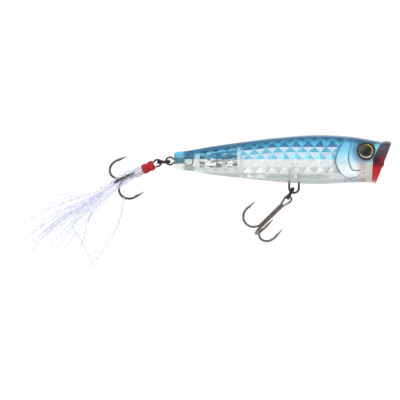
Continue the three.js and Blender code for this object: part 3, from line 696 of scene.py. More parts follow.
def plate(side, back, front, low=-99.0):
    """A wall across the hull between two lines x(z), from the middle plane to the shell."""
    inset = WALL * 0.6
    angle = flank_angles(side, 41)
    rows = []
    for line in (back, front):
        z = np.zeros(len(angle))
        for _ in range(4):
            z = hull_points(line(z), angle, inset)[:, 2]
        z = np.maximum(z, low)
        x = line(z)
        edge = np.c_[x, side * half_width(x, z, inset), z]
        middle_line = np.c_[x, np.full(len(z), side * 0.05), z]
        rows.append(np.vstack([edge, middle_line[::-1]]))
    m = len(rows[0])
    faces = [(j, (j + 1) % m, m + (j + 1) % m, m + j) for j in range(m)]
    for k in range(m // 2 - 1):
        for base in (0, m):
            faces.append((base + k, base + k + 1, base + m - 2 - k, base + m - 1 - k))
    return np.vstack(rows), faces


def flank_pad(side, outline, low_inset, high_inset):
    """A low closed relief on the flank: outline is side-view points round it."""
    outline = np.asarray(outline, float)
    centre = outline.mean(0)
    shares = (0.35, 0.7, 1.0, 1.0, 0.7, 0.35)
    rows = []
    for share, inset in zip(shares, (high_inset,) * 3 + (low_inset,) * 3):
        x, z = (centre + (outline - centre) * share).T
        rows.append(np.c_[x, side * half_width(x, z, inset), z])
    return loft(rows)


def oval(centre, reach, count=28):
    a = np.linspace(0, 2 * math.pi, count, endpoint=False)
    return np.c_[centre[0] + reach[0] * np.cos(a), centre[1] + reach[1] * np.sin(a)]


def bar(x, low, high, width):
    """A round-cornered upright outline."""
    r = width / 2
    a = np.linspace(0, math.pi, 9)
    upper = np.c_[x + r * np.cos(a), high - r + r * np.sin(a)]
    lower = np.c_[x - r * np.cos(a), low + r - r * np.sin(a)]
    return np.vstack([upper, lower])


def foil_width(x, z, inset):
    """half_width, but near the back the foil stands upright instead of closing over."""
    upright = np.minimum(0.5 * hull_at(x, inset)[2], half_width(x, z, 0.35))
    return np.maximum(half_width(x, z, inset), upright)


SCALLOP_STEPS = 8  # points along each half scallop
BORDER = 0.25  # plain foil above the scallops
# the plate's downward-facing foot is painted near white, painted light that lifts its shade
BORDER_TINT, BACK_TINT, LIT_FOOT_TINT = (62, 106, 150), (214, 224, 228), (250, 252, 252)


class Sheet:
    """Rows of points and the tinted faces between them."""

    def __init__(self):
        self.rows, self.faces, self.tints, self.count = [], [], [], 0

    def put(self, row):
        """Adds a row of points and gives their numbers."""
        self.rows.append(row)
        self.count += len(row)
        return list(range(self.count - len(row), self.count))

    def face(self, corners, tint):
        self.faces.append(tuple(corners))
        self.tints.append(tint)

    def strip(self, upper, lower, tint):
        for k in range(len(upper) - 1):
            self.face((upper[k], upper[k + 1], lower[k + 1], lower[k]), tint)

    def fans(self, coarse, fine, tint_of):
        """Joins a row with one point at each column to a row with SCALLOP_STEPS for each."""
        for c in range(len(coarse) - 1):
            tint, first = tint_of(c), c * SCALLOP_STEPS
            middle = first + SCALLOP_STEPS // 2
            for k in range(first, first + SCALLOP_STEPS):
                self.face((coarse[c + (k >= middle)], fine[k + 1], fine[k]), tint)
            self.face((coarse[c], coarse[c + 1], fine[middle]), tint)


def faceted_plate(side, columns, lines, top_line, depths, colour, arch=0.0):
    """A closed plate of diamond-based pyramids in level rows, with scallops arch high along its
    upper edge. depths are the peaks', the valleys' and the back's below the hull's surface, and
    colour(row, z, upward, leftward) is a facet's tint."""
    peak, valley, back = depths
    nc, nr = len(columns), len(lines)
    levels = np.minimum([np.broadcast_to(line, nc) for line in lines], top_line(columns))
    high = (np.arange(nc) + np.arange(nr)[:, None]) % 2 == 1
    if columns[1] - columns[0] < 1:  # a narrow plain margin
        high[:, 0] = high[:, 1]
    for r in reversed(range(nr - 1)):  # levels that meet at the upper edge share their points
        meet = levels[r] - levels[r + 1] < 0.02
        levels[r] = np.where(meet, levels[r + 1], levels[r])
        high[r] = np.where(meet, high[r + 1], high[r])
    on_wall = lambda x, z, inset: np.c_[x, side * foil_width(x, z, inset), z]
    sheet = Sheet()
    front = [sheet.put(on_wall(columns, levels[r], np.where(high[r], peak, valley)))
             for r in range(nr)]
    for r in range(nr - 1):
        for c in range(nc - 1):
            if (levels[r, c:c + 2] == levels[r + 1, c:c + 2]).all():
                continue
            (up_left, up_right), (low_left, low_right) = front[r][c:c + 2], front[r + 1][c:c + 2]
            if (c + r) % 2 == 0:  # valleys at the upper left and lower right
                cells = [((up_left, up_right, low_right), False, True),
                         ((up_left, low_right, low_left), True, False)]
            else:
                cells = [((up_left, up_right, low_left), False, False),
                         ((up_right, low_right, low_left), True, True)]
            for corners, upward, leftward in cells:
                z = levels.flat[list(corners)].mean()
                sheet.face(corners, colour(r, z, upward, leftward))
    back_top, edge_rows = levels[0], []
    if arch:
        share = np.arange((nc - 1) * SCALLOP_STEPS + 1) / SCALLOP_STEPS
        x = np.interp(share, np.arange(nc), columns)
        edge_z = np.interp(x, columns, levels[0])
        rise = arch * np.abs(np.cos(share * math.pi / 2))
        back_top = levels[0] + arch + BORDER
        edge_rows = [sheet.put(on_wall(x, z, inset)) for z, inset in (
            (edge_z + rise, peak), (edge_z + rise, valley), (edge_z + arch + BORDER, valley))]
        sheet.fans(front[0], edge_rows[0], lambda c: colour(-1, 0, False, c % 2 == 1))
        sheet.strip(edge_rows[0], edge_rows[1], BORDER_TINT)
        sheet.strip(edge_rows[1], edge_rows[2], BORDER_TINT)
    behind = []
    for z in (back_top, (back_top + levels[-1]) / 2, levels[-1]):
        row = on_wall(columns, z, back)
        row[:, 1] = side * np.maximum(side * row[:, 1] - 0.25, 0.1)
        behind.append(sheet.put(row))
    if arch:
        sheet.fans(behind[0], edge_rows[2], lambda c: BACK_TINT)
    else:
        sheet.strip(front[0], behind[0], BACK_TINT)
    sheet.strip(behind[0], behind[1], BACK_TINT)
    sheet.strip(behind[1], behind[2], BACK_TINT)
    sheet.strip(behind[2], front[-1], LIT_FOOT_TINT)
    for end in (0, -1):
        sheet.face([row[end] for row in (*front, *behind[::-1], *edge_rows[::-1])], BACK_TINT)
    return (np.vstack(sheet.rows), sheet.faces), sheet.tints


OPEN_TOP = 99  # a first level that only the back's line cuts off
PERIOD = 4.976  # of the prism's lattice
LATTICE_X = -49.4  # a column of the lattice
LEVELS = [6.85, 4.67, PAINT_Z, -1.33, -3.9]  # the lattice's level lines, below the scallops
PRISM_BACK, PRISM_FRONT, PRISM_DEPTHS = -57.6, -12.0, (1.5, 2.0, 2.7)
CHAMBER_COLUMNS = [*np.linspace(-74.6, -61.0, 7), -59.0]
CHAMBER_LEVELS = [OPEN_TOP, 4.2, 3.6, 3.0, 2.3, PAINT_Z, 1.1, 0.5, -0.2, -1.0, -1.7, -3.4]
CHAMBER_DEPTHS = (1.25, 1.45, 1.9)


def vary(colour, spread=5):
    """The colour, a little lighter or darker."""
    return tuple(np.clip(np.asarray(colour, float) + rng.normal(0, spread), 0, 255))


def prism_reflection_colour(row, _z, upward, leftward):
    """Foil over a blue back, tinted with painted reflections: facets that look up are painted blue
    and those that look down pale, and facets that look left differ a little from those that look
    right as painted shade.
    """
    # the scallops: left and right facets in slightly different painted light
    if row < 0:
        return vary((86, 182, 218) if leftward else (80, 172, 210), 4)
    reflected_tones = [  # of facets that look up and left, up and right, down and left, down and right
        ((46, 104, 150), (46, 104, 150), (80, 184, 220), (76, 178, 214)),
        ((86, 172, 202), (88, 172, 202), (232, 246, 248), (228, 244, 247)),
        ((106, 188, 212), (134, 214, 234), (242, 247, 247), (240, 246, 246)),
        ((228, 234, 233), (224, 230, 230), (230, 236, 235), (226, 232, 231)),
        ((254, 254, 254), (251, 252, 252), (220, 226, 224), (212, 219, 217)),
        ((242, 245, 244), (234, 238, 237), (206, 214, 213), (196, 206, 205)),
    ]
    return vary(reflected_tones[row][(0 if upward else 2) + (0 if leftward else 1)])


def prism_insert(side, materials):
    """The reflector behind one flank."""
    name = SIDES[side]
    piece = Piece(f"prism_reflector_{name}")
    columns = np.r_[PRISM_BACK, np.arange(LATTICE_X - 3 * PERIOD / 2, PRISM_FRONT, PERIOD / 2)]
    bend = np.clip((-40 - columns) / 15, 0, 1) ** 1.3  # the upper lines follow the back
    lines = [OPEN_TOP, LEVELS[0] - 1.4 * bend, LEVELS[1] - 1.3 * bend, *LEVELS[2:]]
    under_back = lambda x: AXIS_Z + hull_at(x)[0] - 2.25
    skin, tints = faceted_plate(side, columns, lines, under_back, PRISM_DEPTHS, prism_reflection_colour, 0.85)
    piece.add(skin, 0, False, tints)
    # the lower row that only the rear of the plate has
    rear = columns[columns < -46.5]
    top, foot = LEVELS[-1] - 0.05, -5.9
    skin, tints = faceted_plate(side, rear, [top, foot], lambda x: np.full(len(x), top),
                                PRISM_DEPTHS, lambda r, *rest: prism_reflection_colour(5, *rest))
    piece.add(skin, 0, False, tints)
    return piece.make(materials, "hull", [f"prism_insert_{name}"], "prism_foil", sharp=5)


def chamber_reflection_colour(row, z, upward, _leftward):
    """Facets moulded in the chamber's wall, which break up the balls behind them: their tints are
    painted reflections of the balls, and low down facets that look up are painted lighter and those
    that look down darker as painted shade.
    """
    if row < 1:
        return vary((124, 216, 240) if row < 0 else (36, 110, 152), 6)
    if z < -1.7:
        return vary((244, 247, 246) if upward else (208, 216, 214), 5)
    # random blue and grey tones painted as the balls' mottled reflections
    blue = [(14, 66, 92), (30, 100, 130), (62, 148, 178), (170, 214, 220), (22, 78, 104),
            (70, 156, 184)]
    grey = [(150, 164, 164), (236, 238, 232), (96, 118, 124), (246, 246, 242), (52, 80, 86),
            (190, 200, 198)]
    reflected_pool = blue if z > PAINT_Z else grey
    return vary(reflected_pool[rng.integers(len(reflected_pool))], 8)


WEB_BACK, WEB_FRONT, WAIST_Z, WAIST_REACH = -77.8, -74.2, -0.4, 5.6  # the web is waisted
RIB = 1.25  # the chamber's front wall
BROW_RIB, BROW_RIB_WIDTH, BROW_RIB_LOW = -23.4, 0.6, 6.6
BOSS_X, BOSS_LOW, BOSS_HIGH, BOSS_WIDTH = -34.8, -6.3, -1.8, 1.35  # over the belly hanger
BELLY_OVAL, STREAKS = (-20.5, -5.5), 12
LEDGE = [(-47, -4.1), (-34, -4.2), (-22, -4.3), (-12, -4.6), (-3.1, -4.75)]
BEZEL = [(3.12, -0.6), (3.12, 0.05), (3.3, 0.25), (3.6, 0.2), (3.95, -0.1), (4.1, -0.6)]
# the shell's materials, in their order
CLEAR, MOULDED, GILL_LINE, GILL_STREAK, FACETS, NAVY = range(6)


def gill_streaks(side):
    """Fine brush strokes from the gill cover's edge towards its inner line."""
    outer, inner = (spline([(x, 0, z) for x, z in line], 30)
                    for line in (GILL[1:6], INNER_GILL[1:5]))
    for k in range(STREAKS):
        at = int((k + 0.5) / STREAKS * 29)
        start, across = outer[at], inner[at] - outer[at]
        a, b = start + across * 0.15, start + across * rng.uniform(0.5, 0.85)
        middle = (a + b) / 2 + (0, 0, rng.normal(0, 0.25))
        path = on_flank([p[[0, 2]] for p in (a, middle, b)], side, -0.02, 14)
        yield tube(path, 0.05, 5)


def shell_half(side, materials):
    """The shell with everything moulded in it."""
    name = SIDES[side]
    piece = Piece(f"clear_shell_{name}")
    skin, values = shell_skin(side)
    piece.add(skin, CLEAR, values=values)
    bow = lambda z: np.clip(1 - ((z - WAIST_Z) / WAIST_REACH) ** 2, 0, 1)
    upright = lambda x: lambda z: 0 * z + x
    web = (lambda z: WEB_BACK + 1.4 * bow(z), lambda z: WEB_FRONT - 0.5 * bow(z))
    piece.add(plate(side, *web), MOULDED)
    piece.add(plate(side, upright(CHAMBER_FRONT), upright(CHAMBER_FRONT + RIB)), MOULDED)
    brow = (upright(BROW_RIB), upright(BROW_RIB + BROW_RIB_WIDTH))
    piece.add(plate(side, *brow, low=BROW_RIB_LOW), MOULDED)
    for x, z, reach in ((*TAIL_POST, POST_R), (*TIE_POST, POST_R), (BELLY_X, BELLY_HIGH, 1.15)):
        length = half_width(x, z, WALL * 0.6)[0]
        rod, faces = lathe([(0, 0.05), (reach, 0.05), (reach, length), (0, length)], 32)
        piece.add((np.c_[rod[:, 0] + x, side * rod[:, 2], rod[:, 1] + z], faces), MOULDED)
    boss = bar(BOSS_X, BOSS_LOW, BOSS_HIGH, BOSS_WIDTH)
    piece.add(flank_pad(side, boss, 0.6, -0.04), MOULDED)
    piece.add(flank_pad(side, oval(BELLY_OVAL, (3.3, 1.2)), 0.8, 0.25), MOULDED)
    rim = oval(BELLY_OVAL, (3.4, 1.3), 48)
    piece.add(tube(on_flank([*rim, rim[0]], side, 0.0, 90), 0.1, 6), MOULDED)
    piece.add(tube(on_flank(LEDGE, side, 0.02), 0.1, 6), MOULDED)
    for line, reach, slot in ((GILL[:6], 0.28, GILL_LINE), (GILL[5:], 0.18, GILL_STREAK),
                              (INNER_GILL, 0.26, GILL_LINE)):
        piece.add(tube(on_flank(line, side, -0.02, 60), reach, 8), slot)
    for streak in gill_streaks(side):
        piece.add(streak, GILL_STREAK)
    under_back = lambda x: AXIS_Z + hull_at(x)[0] - 2.9
    skin, tints = faceted_plate(side, np.array(CHAMBER_COLUMNS), CHAMBER_LEVELS, under_back,
                                CHAMBER_DEPTHS, chamber_reflection_colour, 1.3)
    piece.add(skin, FACETS, False, tints)
    piece.add(moved(lathe(BEZEL, 64, ring=True), eye_matrix(side)), NAVY)
    return piece.make(materials, "hull", [f"body_shell_{name}"], "clear_blue_plastic", sharp=35)


shell_materials = [
    shell_paint(), moulded_plastic(), plain("gill_line", (78, 142, 178), 0.25),
    plain("gill_streak", (96, 160, 196), 0.2), tinted("chamber_facets", alpha=0.95, grain=0.1),
    plain("navy_bezel", (8, 22, 40), 0.4),
]
foil = tinted("prism_foil", metallic=0.1, grain=0.06, coat=0.2)
for side in SIDES:
    shell_half(side, shell_materials)
    prism_insert(side, [foil])


# ------------------------------------------------------------------ mouth cup
def cup_ring(along, scale, grow=0.0, count=96):
    """A ring of the cup: along is 0 at the band's back edge and 1 at the rim plane."""
    angle = np.linspace(0, 2 * math.pi, count, endpoint=False)
    z = np.full(count, AXIS_Z)
    for _ in range(5):
        x = band_back(z) + along * (band_rim(z) - band_back(z))
        points = hull_points(x, angle, -grow, scale)
        hump = math.sin(math.pi * np.clip(along, 0, 1) ** 1.2)
        points[:, 2] += CREST * smoothstep(np.sin(angle), 0.2, 1) * hump
        z = points[:, 2]
    return points


def cup_look():
    """Crimson plastic, smoked purple above by the blue paint's overspray."""
    g = Graph("cup_plastic", Roughness=0.3, IOR=1.42, Specular_IOR_Level=0.35)
    (x, _, z), spot = g.position()
    lifted = g.plus(z, g.times(g.minus(g.noise(0.7, spot, 3), 0.5), 1.6))
    colour = g.ramp(lifted, -8, 11, [
        (-8, (212, 150, 156)), (-7.0, (188, 54, 72)), (-4.5, (192, 8, 32)), (-1.9, (178, 6, 28)),
        (-0.4, (84, 14, 32)), (1.4, (48, 16, 32)), (3.2, (62, 44, 60)), (8, (68, 58, 74)),
        (10.5, (84, 76, 90))])
    # a red glow behind the rim, a little above the middle
    ahead = g.minus(x, g.times(z, RIM_SLOPE))
    glow = g.times(g.step(ahead, -1.4, 0.2), g.band(z, -0.5, 0.5, 3.6, 2.2))
    mottled = g.times(glow, g.step(g.noise(1.4, spot, 3), 0.4, 0.6, 0.2, 0.9))
    g.set(Base_Color=g.mix(mottled, colour, (156, 20, 40)))
    g.bump(g.noise(2.0, spot, 2), 0.06, 0.0002)
    return g.material


def mouth_cup():
    """One skin: the bowl's outside, the band, the lip and the dish."""
    span = RIM_X - BACK_X
    joint = 0.02 / span
    bowl, dish = (DISH + BOWL_WALL) / span, DISH / span
    open_share = 1 - LIP / 8
    flare = lambda along: FLARE * along**1.5
    curve = lambda share: math.sqrt(1 - share**2)
    bowl_end = math.sqrt(1 - (1 / bowl) ** 2)
    rows = [cup_ring(1 - bowl * curve(k * bowl_end), k * NECK)
            for k in (0.03, 0.2, 0.4, 0.6, 0.8, 0.92)]
    rows += [cup_ring(joint, NECK)]
    rows += [cup_ring(along, 1, flare(along))
             for along in (joint, 0.08, 0.2, 0.35, 0.5, 0.65, 0.78, 0.88, 0.94)]
    lip = [(0.96, 1, flare(1) - 0.12), (0.985, 1, flare(1) - 0.28), (1.0, 1, flare(1) - 0.52),
           (1.0, 0.98, flare(1) - 0.6), (0.99, open_share, flare(1) - 0.5)]
    rows += [cup_ring(*r) for r in lip]
    rows += [cup_ring(1 - dish * curve(k), open_share * k, 0.4)
             for k in (0.98, 0.94, 0.88, 0.8, 0.7, 0.58, 0.45, 0.32, 0.2, 0.1, 0.03)]
    piece = Piece("red_mouth_cup").add(loft(rows))
    return piece.make([cup_look()], "hull", ["mouth_cup"], "red_plastic", 50)


mouth_cup()


# ------------------------------------------------------------------ eyes
def iris_look():
    """Gold foil with a fine grain."""
    g = Graph("iris_foil", Roughness=0.25, Metallic=0.55)
    grain = g.noise(6.0, g.position()[1], 4)
    clouded(g, grain, 0.72)
    g.bump(grain, 0.2, 0.0001)
    return g.material


def pupil_look():
    """Black print, with an olive grey reflection painted above and behind."""
    g = Graph("pupil_black", Roughness=0.35, Specular_IOR_Level=0.2)
    (x, _, z), spot = g.position()
    across = g.minus(g.minus(x, EYE_X), g.minus(z, EYE_Z))
    # olive grey painted as the dome's reflection, over the pupil's upper rear side
    wear_and_reflection = g.step(g.plus(across, g.noise(0.8, spot, 2)), 1.0, -1.6)
    g.set(Base_Color=g.mix(wear_and_reflection, (8, 9, 6), (58, 60, 52)))
    return g.material


def dome_look():
    """Clear resin: it shows what is under it and shines."""
    g = Graph("clear_resin")
    clear = g.node("ShaderNodeBsdfTransparent")
    haze = g.noise(0.5, g.position()[1], 2)
    gloss = g.node("ShaderNodeBsdfGlossy", 0, {"Roughness": g.step(haze, 0.3, 0.7, 0.24, 0.3)})
    edge = g.node("ShaderNodeLayerWeight", "Facing", {"Blend": 0.5})
    share = g.plus(g.times(g.math("POWER", edge, 5.0), 0.25), 0.008)
    mixed = g.node("ShaderNodeMixShader", 0, {0: share, 1: clear, 2: gloss})
    out = next(n for n in g.nodes if n.type == "OUTPUT_MATERIAL")
    g.links.new(mixed, out.inputs["Surface"])
    g.nodes.remove(g.shader)
    return g.material


def iris_lit_tone(turned):
    """Painted light on the gold ring: a painted gold highlight ahead and above, a painted cream
    reflection below and painted olive shade behind: turned is 0 ahead and 90 degrees above.
    """
    if 5 < turned < 80:
        return (250, 214, 92)
    if -150 < turned < -35:
        return (236, 232, 196)
    return (112, 106, 56) if abs(turned) > 100 else (176, 150, 70)


IRIS = [  # (radius, height) from the back's middle round to the pupil's
    (0.03, -0.75), (3.05, -0.75), (3.1, -0.6), (3.1, -0.3), (3.0, -0.24), (2.85, -0.2),
    (2.7, -0.18), (2.58, -0.2), (2.52, -0.24), (1.2, -0.26), (0.05, -0.26)]
PUPIL_FROM = 7  # the band of the iris where the pupil's print starts
DOME = [(0, -0.12), (3.04, -0.12), (3.1, -0.05), (3.1, 0.12), (3.0, 0.3), (2.75, 0.55),
        (2.35, 0.8), (1.85, 1.0), (1.25, 1.13), (0.6, 1.19), (0, 1.2)]


def eye(side, iris, pupil, dome):
    name = SIDES[side]
    segments = 96
    tints, slots = [], []
    for band in range(len(IRIS) - 1):
        for a in np.linspace(0, 2 * math.pi, segments, endpoint=False):
            turned = math.degrees(math.atan2(-side * math.sin(a), math.cos(a)))
            dark = band >= PUPIL_FROM
            slots.append(int(dark))
            # the ring's painted highlight, reflection and shade, by where each part of the ring
            # faces
            tints.append((10, 11, 9) if dark else vary(iris_lit_tone(turned), 8))
    # the fans at the back and at the pupil's middle
    tints += [(120, 100, 40)] * segments + [(10, 11, 9)] * segments
    slots += [0] * segments + [1] * segments
    disc = Piece(f"iris_{name}")
    rings = loft([circle(r, h, segments) for r, h in IRIS])
    disc.add(moved(rings, eye_matrix(side)), tint=tints)
    disc.slots = slots
    disc.make([iris, pupil], "hull", [f"eye_disc_{name}"], "iris_foil", 60)
    resin = Piece(f"eye_dome_clear_{name}").add(moved(lathe(DOME, 64), eye_matrix(side)))
    resin.make([dome], "hull", [f"eye_dome_{name}"], "clear_dome", 60)


eye_looks = iris_look(), pupil_look(), dome_look()
for side in SIDES:
    eye(side, *eye_looks)


# ------------------------------------------------------------------ rattle balls
def steel_look(name, colour, roughness, wear_and_reflection=0.12):
    """Bare or plated steel with darker clouds and small changes of polish."""
    g = Graph(name, Metallic=1.0)
    _, spot = g.position()
    cloud = g.noise(1.3, spot, 5)
    fine = g.noise(9.0, spot, 3)
    dark = tuple(c * 0.72 for c in colour)
    g.set(Base_Color=g.mix(g.step(cloud, 0.35, 0.68), dark, colour),
          Roughness=g.step(fine, 0.3, 0.7, roughness * 0.75, roughness * 1.35))
    g.bump(fine, wear_and_reflection, 0.00006)
    return g.material


ball_steel = steel_look("ball_steel", (196, 198, 202), 0.1, 0.05)
half_turn = np.linspace(0, math.pi, 25)[1:-1]
ball = [(BALL_R * math.sin(a), -BALL_R * math.cos(a)) for a in half_turn]
ball = [(0, -BALL_R), *ball, (0, BALL_R)]
for i in range(BALLS):
    place = Matrix.Translation((BALL_X + i * BALL_SPACING, 0, BALL_Z))
    piece = Piece(f"steel_ball_{i + 1}").add(moved(lathe(ball, 48), place))
    piece.make([ball_steel], "rattle_balls", [f"rattle_ball_{i + 1}"], "ball_steel", 60)


# ------------------------------------------------------------------ wires and rings
wire_steel = steel_look("black_nickel", (100, 95, 90), 0.2)
ring_steel = steel_look("browned_steel", (78, 68, 63), 0.2)
hook_steel = steel_look("tinned_steel", (134, 124, 119), 0.22)


def figure_eight(eye_at, post, leg_half):
    """Bent wire with an eye, two legs side by side and a loop round a post."""
    half = 180 if eye_at[0] > post[0] else 0
    at_eye = math.degrees(math.asin(leg_half / EYE_RING))
    at_post = math.degrees(math.asin(leg_half / POST_LOOP))
    cut = 5  # degrees left open where the wire's ends meet
    return np.vstack([
        arc(post, POST_LOOP, half - cut, half - 180 + at_post),
        arc(eye_at, EYE_RING, half - at_eye, half - 360 + at_eye, 40),
        arc(post, POST_LOOP, half + 180 - at_post, half + cut),
    ])


def belly_link():
    low, high = (BELLY_X, BELLY_LOW), (BELLY_X, BELLY_HIGH)
    return np.vstack([arc(high, BELLY_R, 96, 180), arc(low, BELLY_R, 180, 360, 40),
                      arc(high, BELLY_R, 0, 84)])


for name, path, wire, node in (
    ("line_tie", figure_eight((0, 0), TIE_POST, 0.55), SMALL_WIRE, "line_tie_wire"),
    ("tail_hanger", figure_eight(TAIL_EYE, TAIL_POST, 0.83), SMALL_WIRE, "tail_hanger_wire"),
    ("belly_hanger", belly_link(), BELLY_WIRE, "belly_hanger_wire"),
):
    piece = Piece(name).add(tube(even(path, 0.2), wire / 2, 16))
    piece.make([wire_steel], "hull", [node], "dark_steel")


def hanging(place, down):
    """Local +X points back, and down by degrees, +Y to the fish's right and +Z up."""
    along = Vector((-math.cos(rad(down)), 0, -math.sin(rad(down))))
    right = Vector((0, -1, 0))
    m = Matrix((along, right, along.cross(right))).transposed().to_4x4()
    return Matrix.Translation((place[0], 0, place[1])) @ m


def away(place, length, down):
    return place[0] - length * math.cos(rad(down)), place[1] - length * math.sin(rad(down))


def split_ring():
    """Flat turns that climb evenly on each other."""
    turn = np.linspace(-0.5, 0.5, 220) * RING_TURNS
    a = 2 * math.pi * turn + math.pi / 2
    return np.c_[RING_R * np.cos(a), RING_R * np.sin(a), RING_PITCH * turn]


for name, top, lean, body in (("tail", TAIL_EYE, TAIL_LEAN, "tail_ring"),
                              ("belly", BELLY_RING_TOP, BELLY_LEAN, "belly_ring")):
    wire = tube(split_ring(), RING_WIRE / 2, 14, up=(0, 0, 1))
    piece = Piece(f"{name}_ring_wire").add(moved(wire, hanging(away(top, RING_R, lean), lean)))
    piece.make([ring_steel], body, [f"{name}_split_ring"], "dark_steel")


# ------------------------------------------------------------------ treble hooks
ALONG = Matrix.Rotation(math.pi / 2, 4, "Y")  # lathe heights run along the shank


def treble(name, places, matrix, steel, body, node):
    """Three brazed wires with a shared eye, each bent to a barbed point."""
    reach = HOOK_LENGTH - HOOK_EYE - HOOK_EYE_WIRE / 2
    inner = HOOK_WIRE / math.sqrt(3)
    bend = (HOOK_SPREAD - inner) / 2
    bend_x = reach - HOOK_WIRE / 2 - bend
    shank_x = HOOK_EYE_LENGTH - HOOK_EYE
    piece = Piece(name)
    legs = [np.array([[x, 0, z] for x in (shank_x + 1.2, shank_x - 0.4)]) for z in (inner, -inner)]
    eye_turn = arc((0, 0), HOOK_EYE, 75, 285, 40)
    eye_path = even(np.vstack([legs[0], eye_turn, legs[1][::-1]]), 0.2)
    piece.add(moved(tube(eye_path, HOOK_EYE_WIRE / 2, 14), matrix))
    turn = arc((bend_x, inner + bend), bend, -90, 90, 60)
    tip_x = bend_x - 1.3
    tip = np.array([[tip_x, 0, HOOK_SPREAD - 0.05], [tip_x - 1.6, 0, HOOK_SPREAD - 0.2],
                    [tip_x - HOOK_POINT, 0, HOOK_SPREAD - 0.55]])
    start = np.array([[shank_x - 0.9, 0, inner * 0.9], [shank_x + 0.5, 0, inner]])
    path = even(np.vstack([start, turn, tip]), 0.25)
    length = np.r_[0, np.cumsum(np.linalg.norm(np.diff(path, axis=0), axis=1))]
    left = length[-1] - length
    radius = HOOK_WIRE / 2 * np.clip(left / HOOK_POINT, 0.05, 1) ** 0.75
    radius *= np.clip(0.55 + length / 2.5, 0, 1)
    barb = spline([(tip_x - 0.9, 0, HOOK_SPREAD - 0.3), (tip_x, 0, HOOK_SPREAD - 0.62),
                   (tip_x + 0.9, 0, HOOK_SPREAD - 1.15)], 14)
    barb_r = np.linspace(0.34, 0.03, 14)
    for angle in places:
        turned = matrix @ Matrix.Rotation(rad(angle), 4, "X")
        piece.add(moved(tube(path, radius, 16, up=(0, 1, 0)), turned))
        piece.add(moved(tube(barb, barb_r, 10, flat=0.7, up=(0, 1, 0)), turned))
    core = [(0, shank_x - 0.6), (0.28, shank_x - 0.5), (0.5, shank_x + 0.6), (0.5, bend_x - 1),
            (0, bend_x + 0.2)]
    piece.add(moved(lathe(core, 24), matrix @ ALONG))
    return piece.make([steel], body, [node], "dark_steel", 60)


belly_hook = hanging(away(BELLY_RING_TOP, 2 * RING_R, BELLY_LEAN), BELLY_SHANK)
tail_hook = hanging(away(TAIL_EYE, 2 * RING_R, TAIL_LEAN), TAIL_SHANK)
treble("belly_hook_wire", BELLY_PLACES, belly_hook, hook_steel, "belly_hook", "belly_treble")
treble("tail_hook_wire", TAIL_PLACES, tail_hook, wire_steel, "tail_hook", "tail_treble")


# ------------------------------------------------------------------ dressing of the rear hook
def wrap_radius(x):
    """Two humps with a waist between them."""
    share = (x - WRAP[0]) / (WRAP[1] - WRAP[0])
    return 1.45 + 0.45 * np.abs(np.sin(2 * math.pi * share)) ** 0.6


def coil(start, stop, radius_at, thread, pitch, wobble=0.0):
    """A thread wound round the shank."""
    turns = (stop - start) / pitch
    t = np.linspace(0, 1, int(turns * 28))
    x = start + (stop - start) * t
    a = 2 * math.pi * turns * t
    r = radius_at(x) + thread * 0.6 + wobble * np.sin(a * 0.37)
    return tube(np.c_[x, r * np.cos(a), r * np.sin(a)], thread, 6, up=(1, 0, 0))


def thread_wrap():
    """Lacquered red thread in tight turns."""
    g = Graph("lacquered_thread", Roughness=0.45, IOR=1.4, Coat_Weight=0.15, Coat_Roughness=0.2)
    _, spot = g.position()
    fibre = g.noise(5.0, spot, 5)
    g.set(Base_Color=g.mix(g.step(fibre, 0.35, 0.65), (136, 4, 20), (204, 10, 34)))
    g.bump(fibre, 0.25, 0.0001)
    piece = Piece("red_thread_turns")
    xs = np.linspace(*WRAP, 40)
    profile = [(0.6, WRAP[0]), *((wrap_radius(x) - 0.02, x) for x in xs), (0.6, WRAP[1])]
    piece.add(moved(lathe(profile, 40, ring=True), tail_hook @ ALONG))
    piece.add(moved(coil(WRAP[0] + 0.12, WRAP[1] - 0.12, wrap_radius, 0.13, 0.25, 0.02), tail_hook))
    crossing = coil(WRAP[0] + 0.7, WRAP[1] - 0.7, lambda x: wrap_radius(x) + 0.12, 0.11, 1.3)
    piece.add(moved(crossing, tail_hook))
    return piece.make([g.material], "tail_hook", ["thread_wrap"], "red_thread", 60)


def film_look(name, low, high):
    """Pearl film that glints in dashes of blue, lilac and pink, between two opacities."""
    g = Graph(name, Roughness=0.35)
    _, spot = g.position()
    dash = g.noise(0.8, spot, 1)
    dashes = g.step(dash, 0.4, 0.6, low, high)
    fade = g.step(g.place()[0], 0.1, 0.8, 0.4, 1.3)
    turned = g.ramp(g.noise(0.5, spot, 3), 0.3, 0.7, [
        (0.3, (170, 214, 250)), (0.45, (222, 220, 250)), (0.55, (250, 222, 244)),
        (0.7, (200, 240, 248))])
    g.set(Base_Color=g.mix(0.45, g.tint(), turned),
          Alpha=g.math("MULTIPLY", dashes, fade, clamp=True))
    return g.material


def ribbon(path, width, thick, twist, phase):
    """A flat closed strip that turns about its own path."""
    tangent, normal, side = frames_along(path, (0.2, 0.3, 1))
    a = phase + twist * np.linspace(0, 1, len(path))
    across = normal * np.cos(a)[:, None] + side * np.sin(a)[:, None]
    over = np.cross(tangent, across) * thick
    wide = across * (width * np.minimum(1.0, 0.4 + np.arange(len(path)) / 3))[:, None]
    corners = ((1, 1), (-1, 1), (-1, -1), (1, -1))
    rows = np.stack([path + u * wide + v * over for u, v in corners], axis=1)
    share = np.r_[np.repeat(np.linspace(0, 1, len(path)), 4), 0, 1]
    return loft(rows), np.c_[share, share, share]


FILM = [(176, 212, 248), (214, 214, 250), (248, 214, 240), (190, 234, 248), (232, 242, 252),
        (244, 246, 253)]
BUTTS = 64
film = film_look("pearl_film", 0.08, 0.42)
folded_film = film_look("folded_film", 0.55, 0.85)


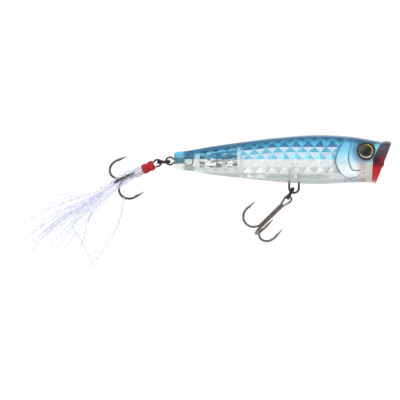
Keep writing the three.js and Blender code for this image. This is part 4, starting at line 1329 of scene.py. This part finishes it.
def tinsel_collar():
    """The tinsel's folded butts under a few turns of clear thread."""
    piece = Piece("tinsel_butts")
    back, front = COLLAR
    core = [(0.6, back), (1.45, back + 0.2), (1.62, back + 1.3), (1.5, front - 0.2), (0.6, front)]
    butts = moved(lathe(core, 32, ring=True), tail_hook @ ALONG)
    piece.add(butts, tint=(222, 234, 224), values=np.full((len(butts[0]), 3), 0.6))
    for k in range(BUTTS):
        a = 2 * math.pi * k / BUTTS + rng.normal(0, 0.05)
        bulge = rng.uniform(1.62, 1.95)
        first, last = rng.uniform(1.35, 1.75, 2)
        places = [(back - rng.uniform(0, 0.5), first), (back + 0.9, bulge), (back + 2.0, bulge),
                  (front + rng.uniform(0, 0.6), last)]
        path = spline([(x, r * math.cos(a), r * math.sin(a)) for x, r in places], 10)
        skin, values = ribbon(path, 0.12, 0.02, rng.normal(0, 0.6), a)
        shade = vary((226, 236, 226), 6)
        piece.add(moved(skin, tail_hook), tint=shade, values=np.full_like(values, 0.6))
    thread = coil(back + 0.7, back + 1.6, lambda x: 1.9 + 0 * x, 0.06, 0.3)
    piece.add(moved(thread, tail_hook), tint=(236, 240, 238))
    return piece.make([folded_film], "tail_hook", ["tinsel_collar"], "tinsel", 60)


def tinsel_lock(number, around, strands, fan, via):
    """One lock: strands leave the collar together and fan out, each with its own length."""
    piece = Piece(f"tinsel_strands_{number}")
    root, step = COLLAR[1] - 0.4, 0.4
    for _ in range(strands):
        a = rad(around + rng.normal(0, 22))
        off = rng.uniform(1.1, 1.8)
        start = np.array([root, -off * math.sin(a), off * math.cos(a)])
        spread = rng.normal(0, 1, 3) * (0, 1, 1)
        points = [start, start * (1, 1.35, 1.35) + (5, 0, 0)]
        points += [np.array([along, -left, rise]) + spread * (fan * along / 60)
                   for along, left, rise in via]
        length = rng.uniform(0.84, 1.0) if rng.random() < 0.75 else rng.uniform(0.5, 0.84)
        path = even(spline(points, 160)[: int(160 * length)], step)
        t = np.linspace(0, 1, len(path))
        wave = rng.uniform(0.1, 0.5) * np.sin(t * rng.uniform(5, 11) + rng.uniform(0, 6)) * t
        path[:, 1] += wave
        path[:, 2] += wave * rng.choice([-1, 1])
        twist = 2 * math.pi * len(path) * step / rng.uniform(2.6, 4.6)
        skin, values = ribbon(path, rng.uniform(0.13, 0.2), 0.012, twist, rng.uniform(0, 6))
        shade = vary(FILM[rng.integers(len(FILM))], 4)
        piece.add(moved(skin, tail_hook), tint=shade, values=values)
    return piece.make([film], "tail_hook", [f"tinsel_lock_{number}"], "tinsel", 80)


thread_wrap()
tinsel_collar()
for i, lock in enumerate(LOCKS):
    tinsel_lock(i + 1, *lock)
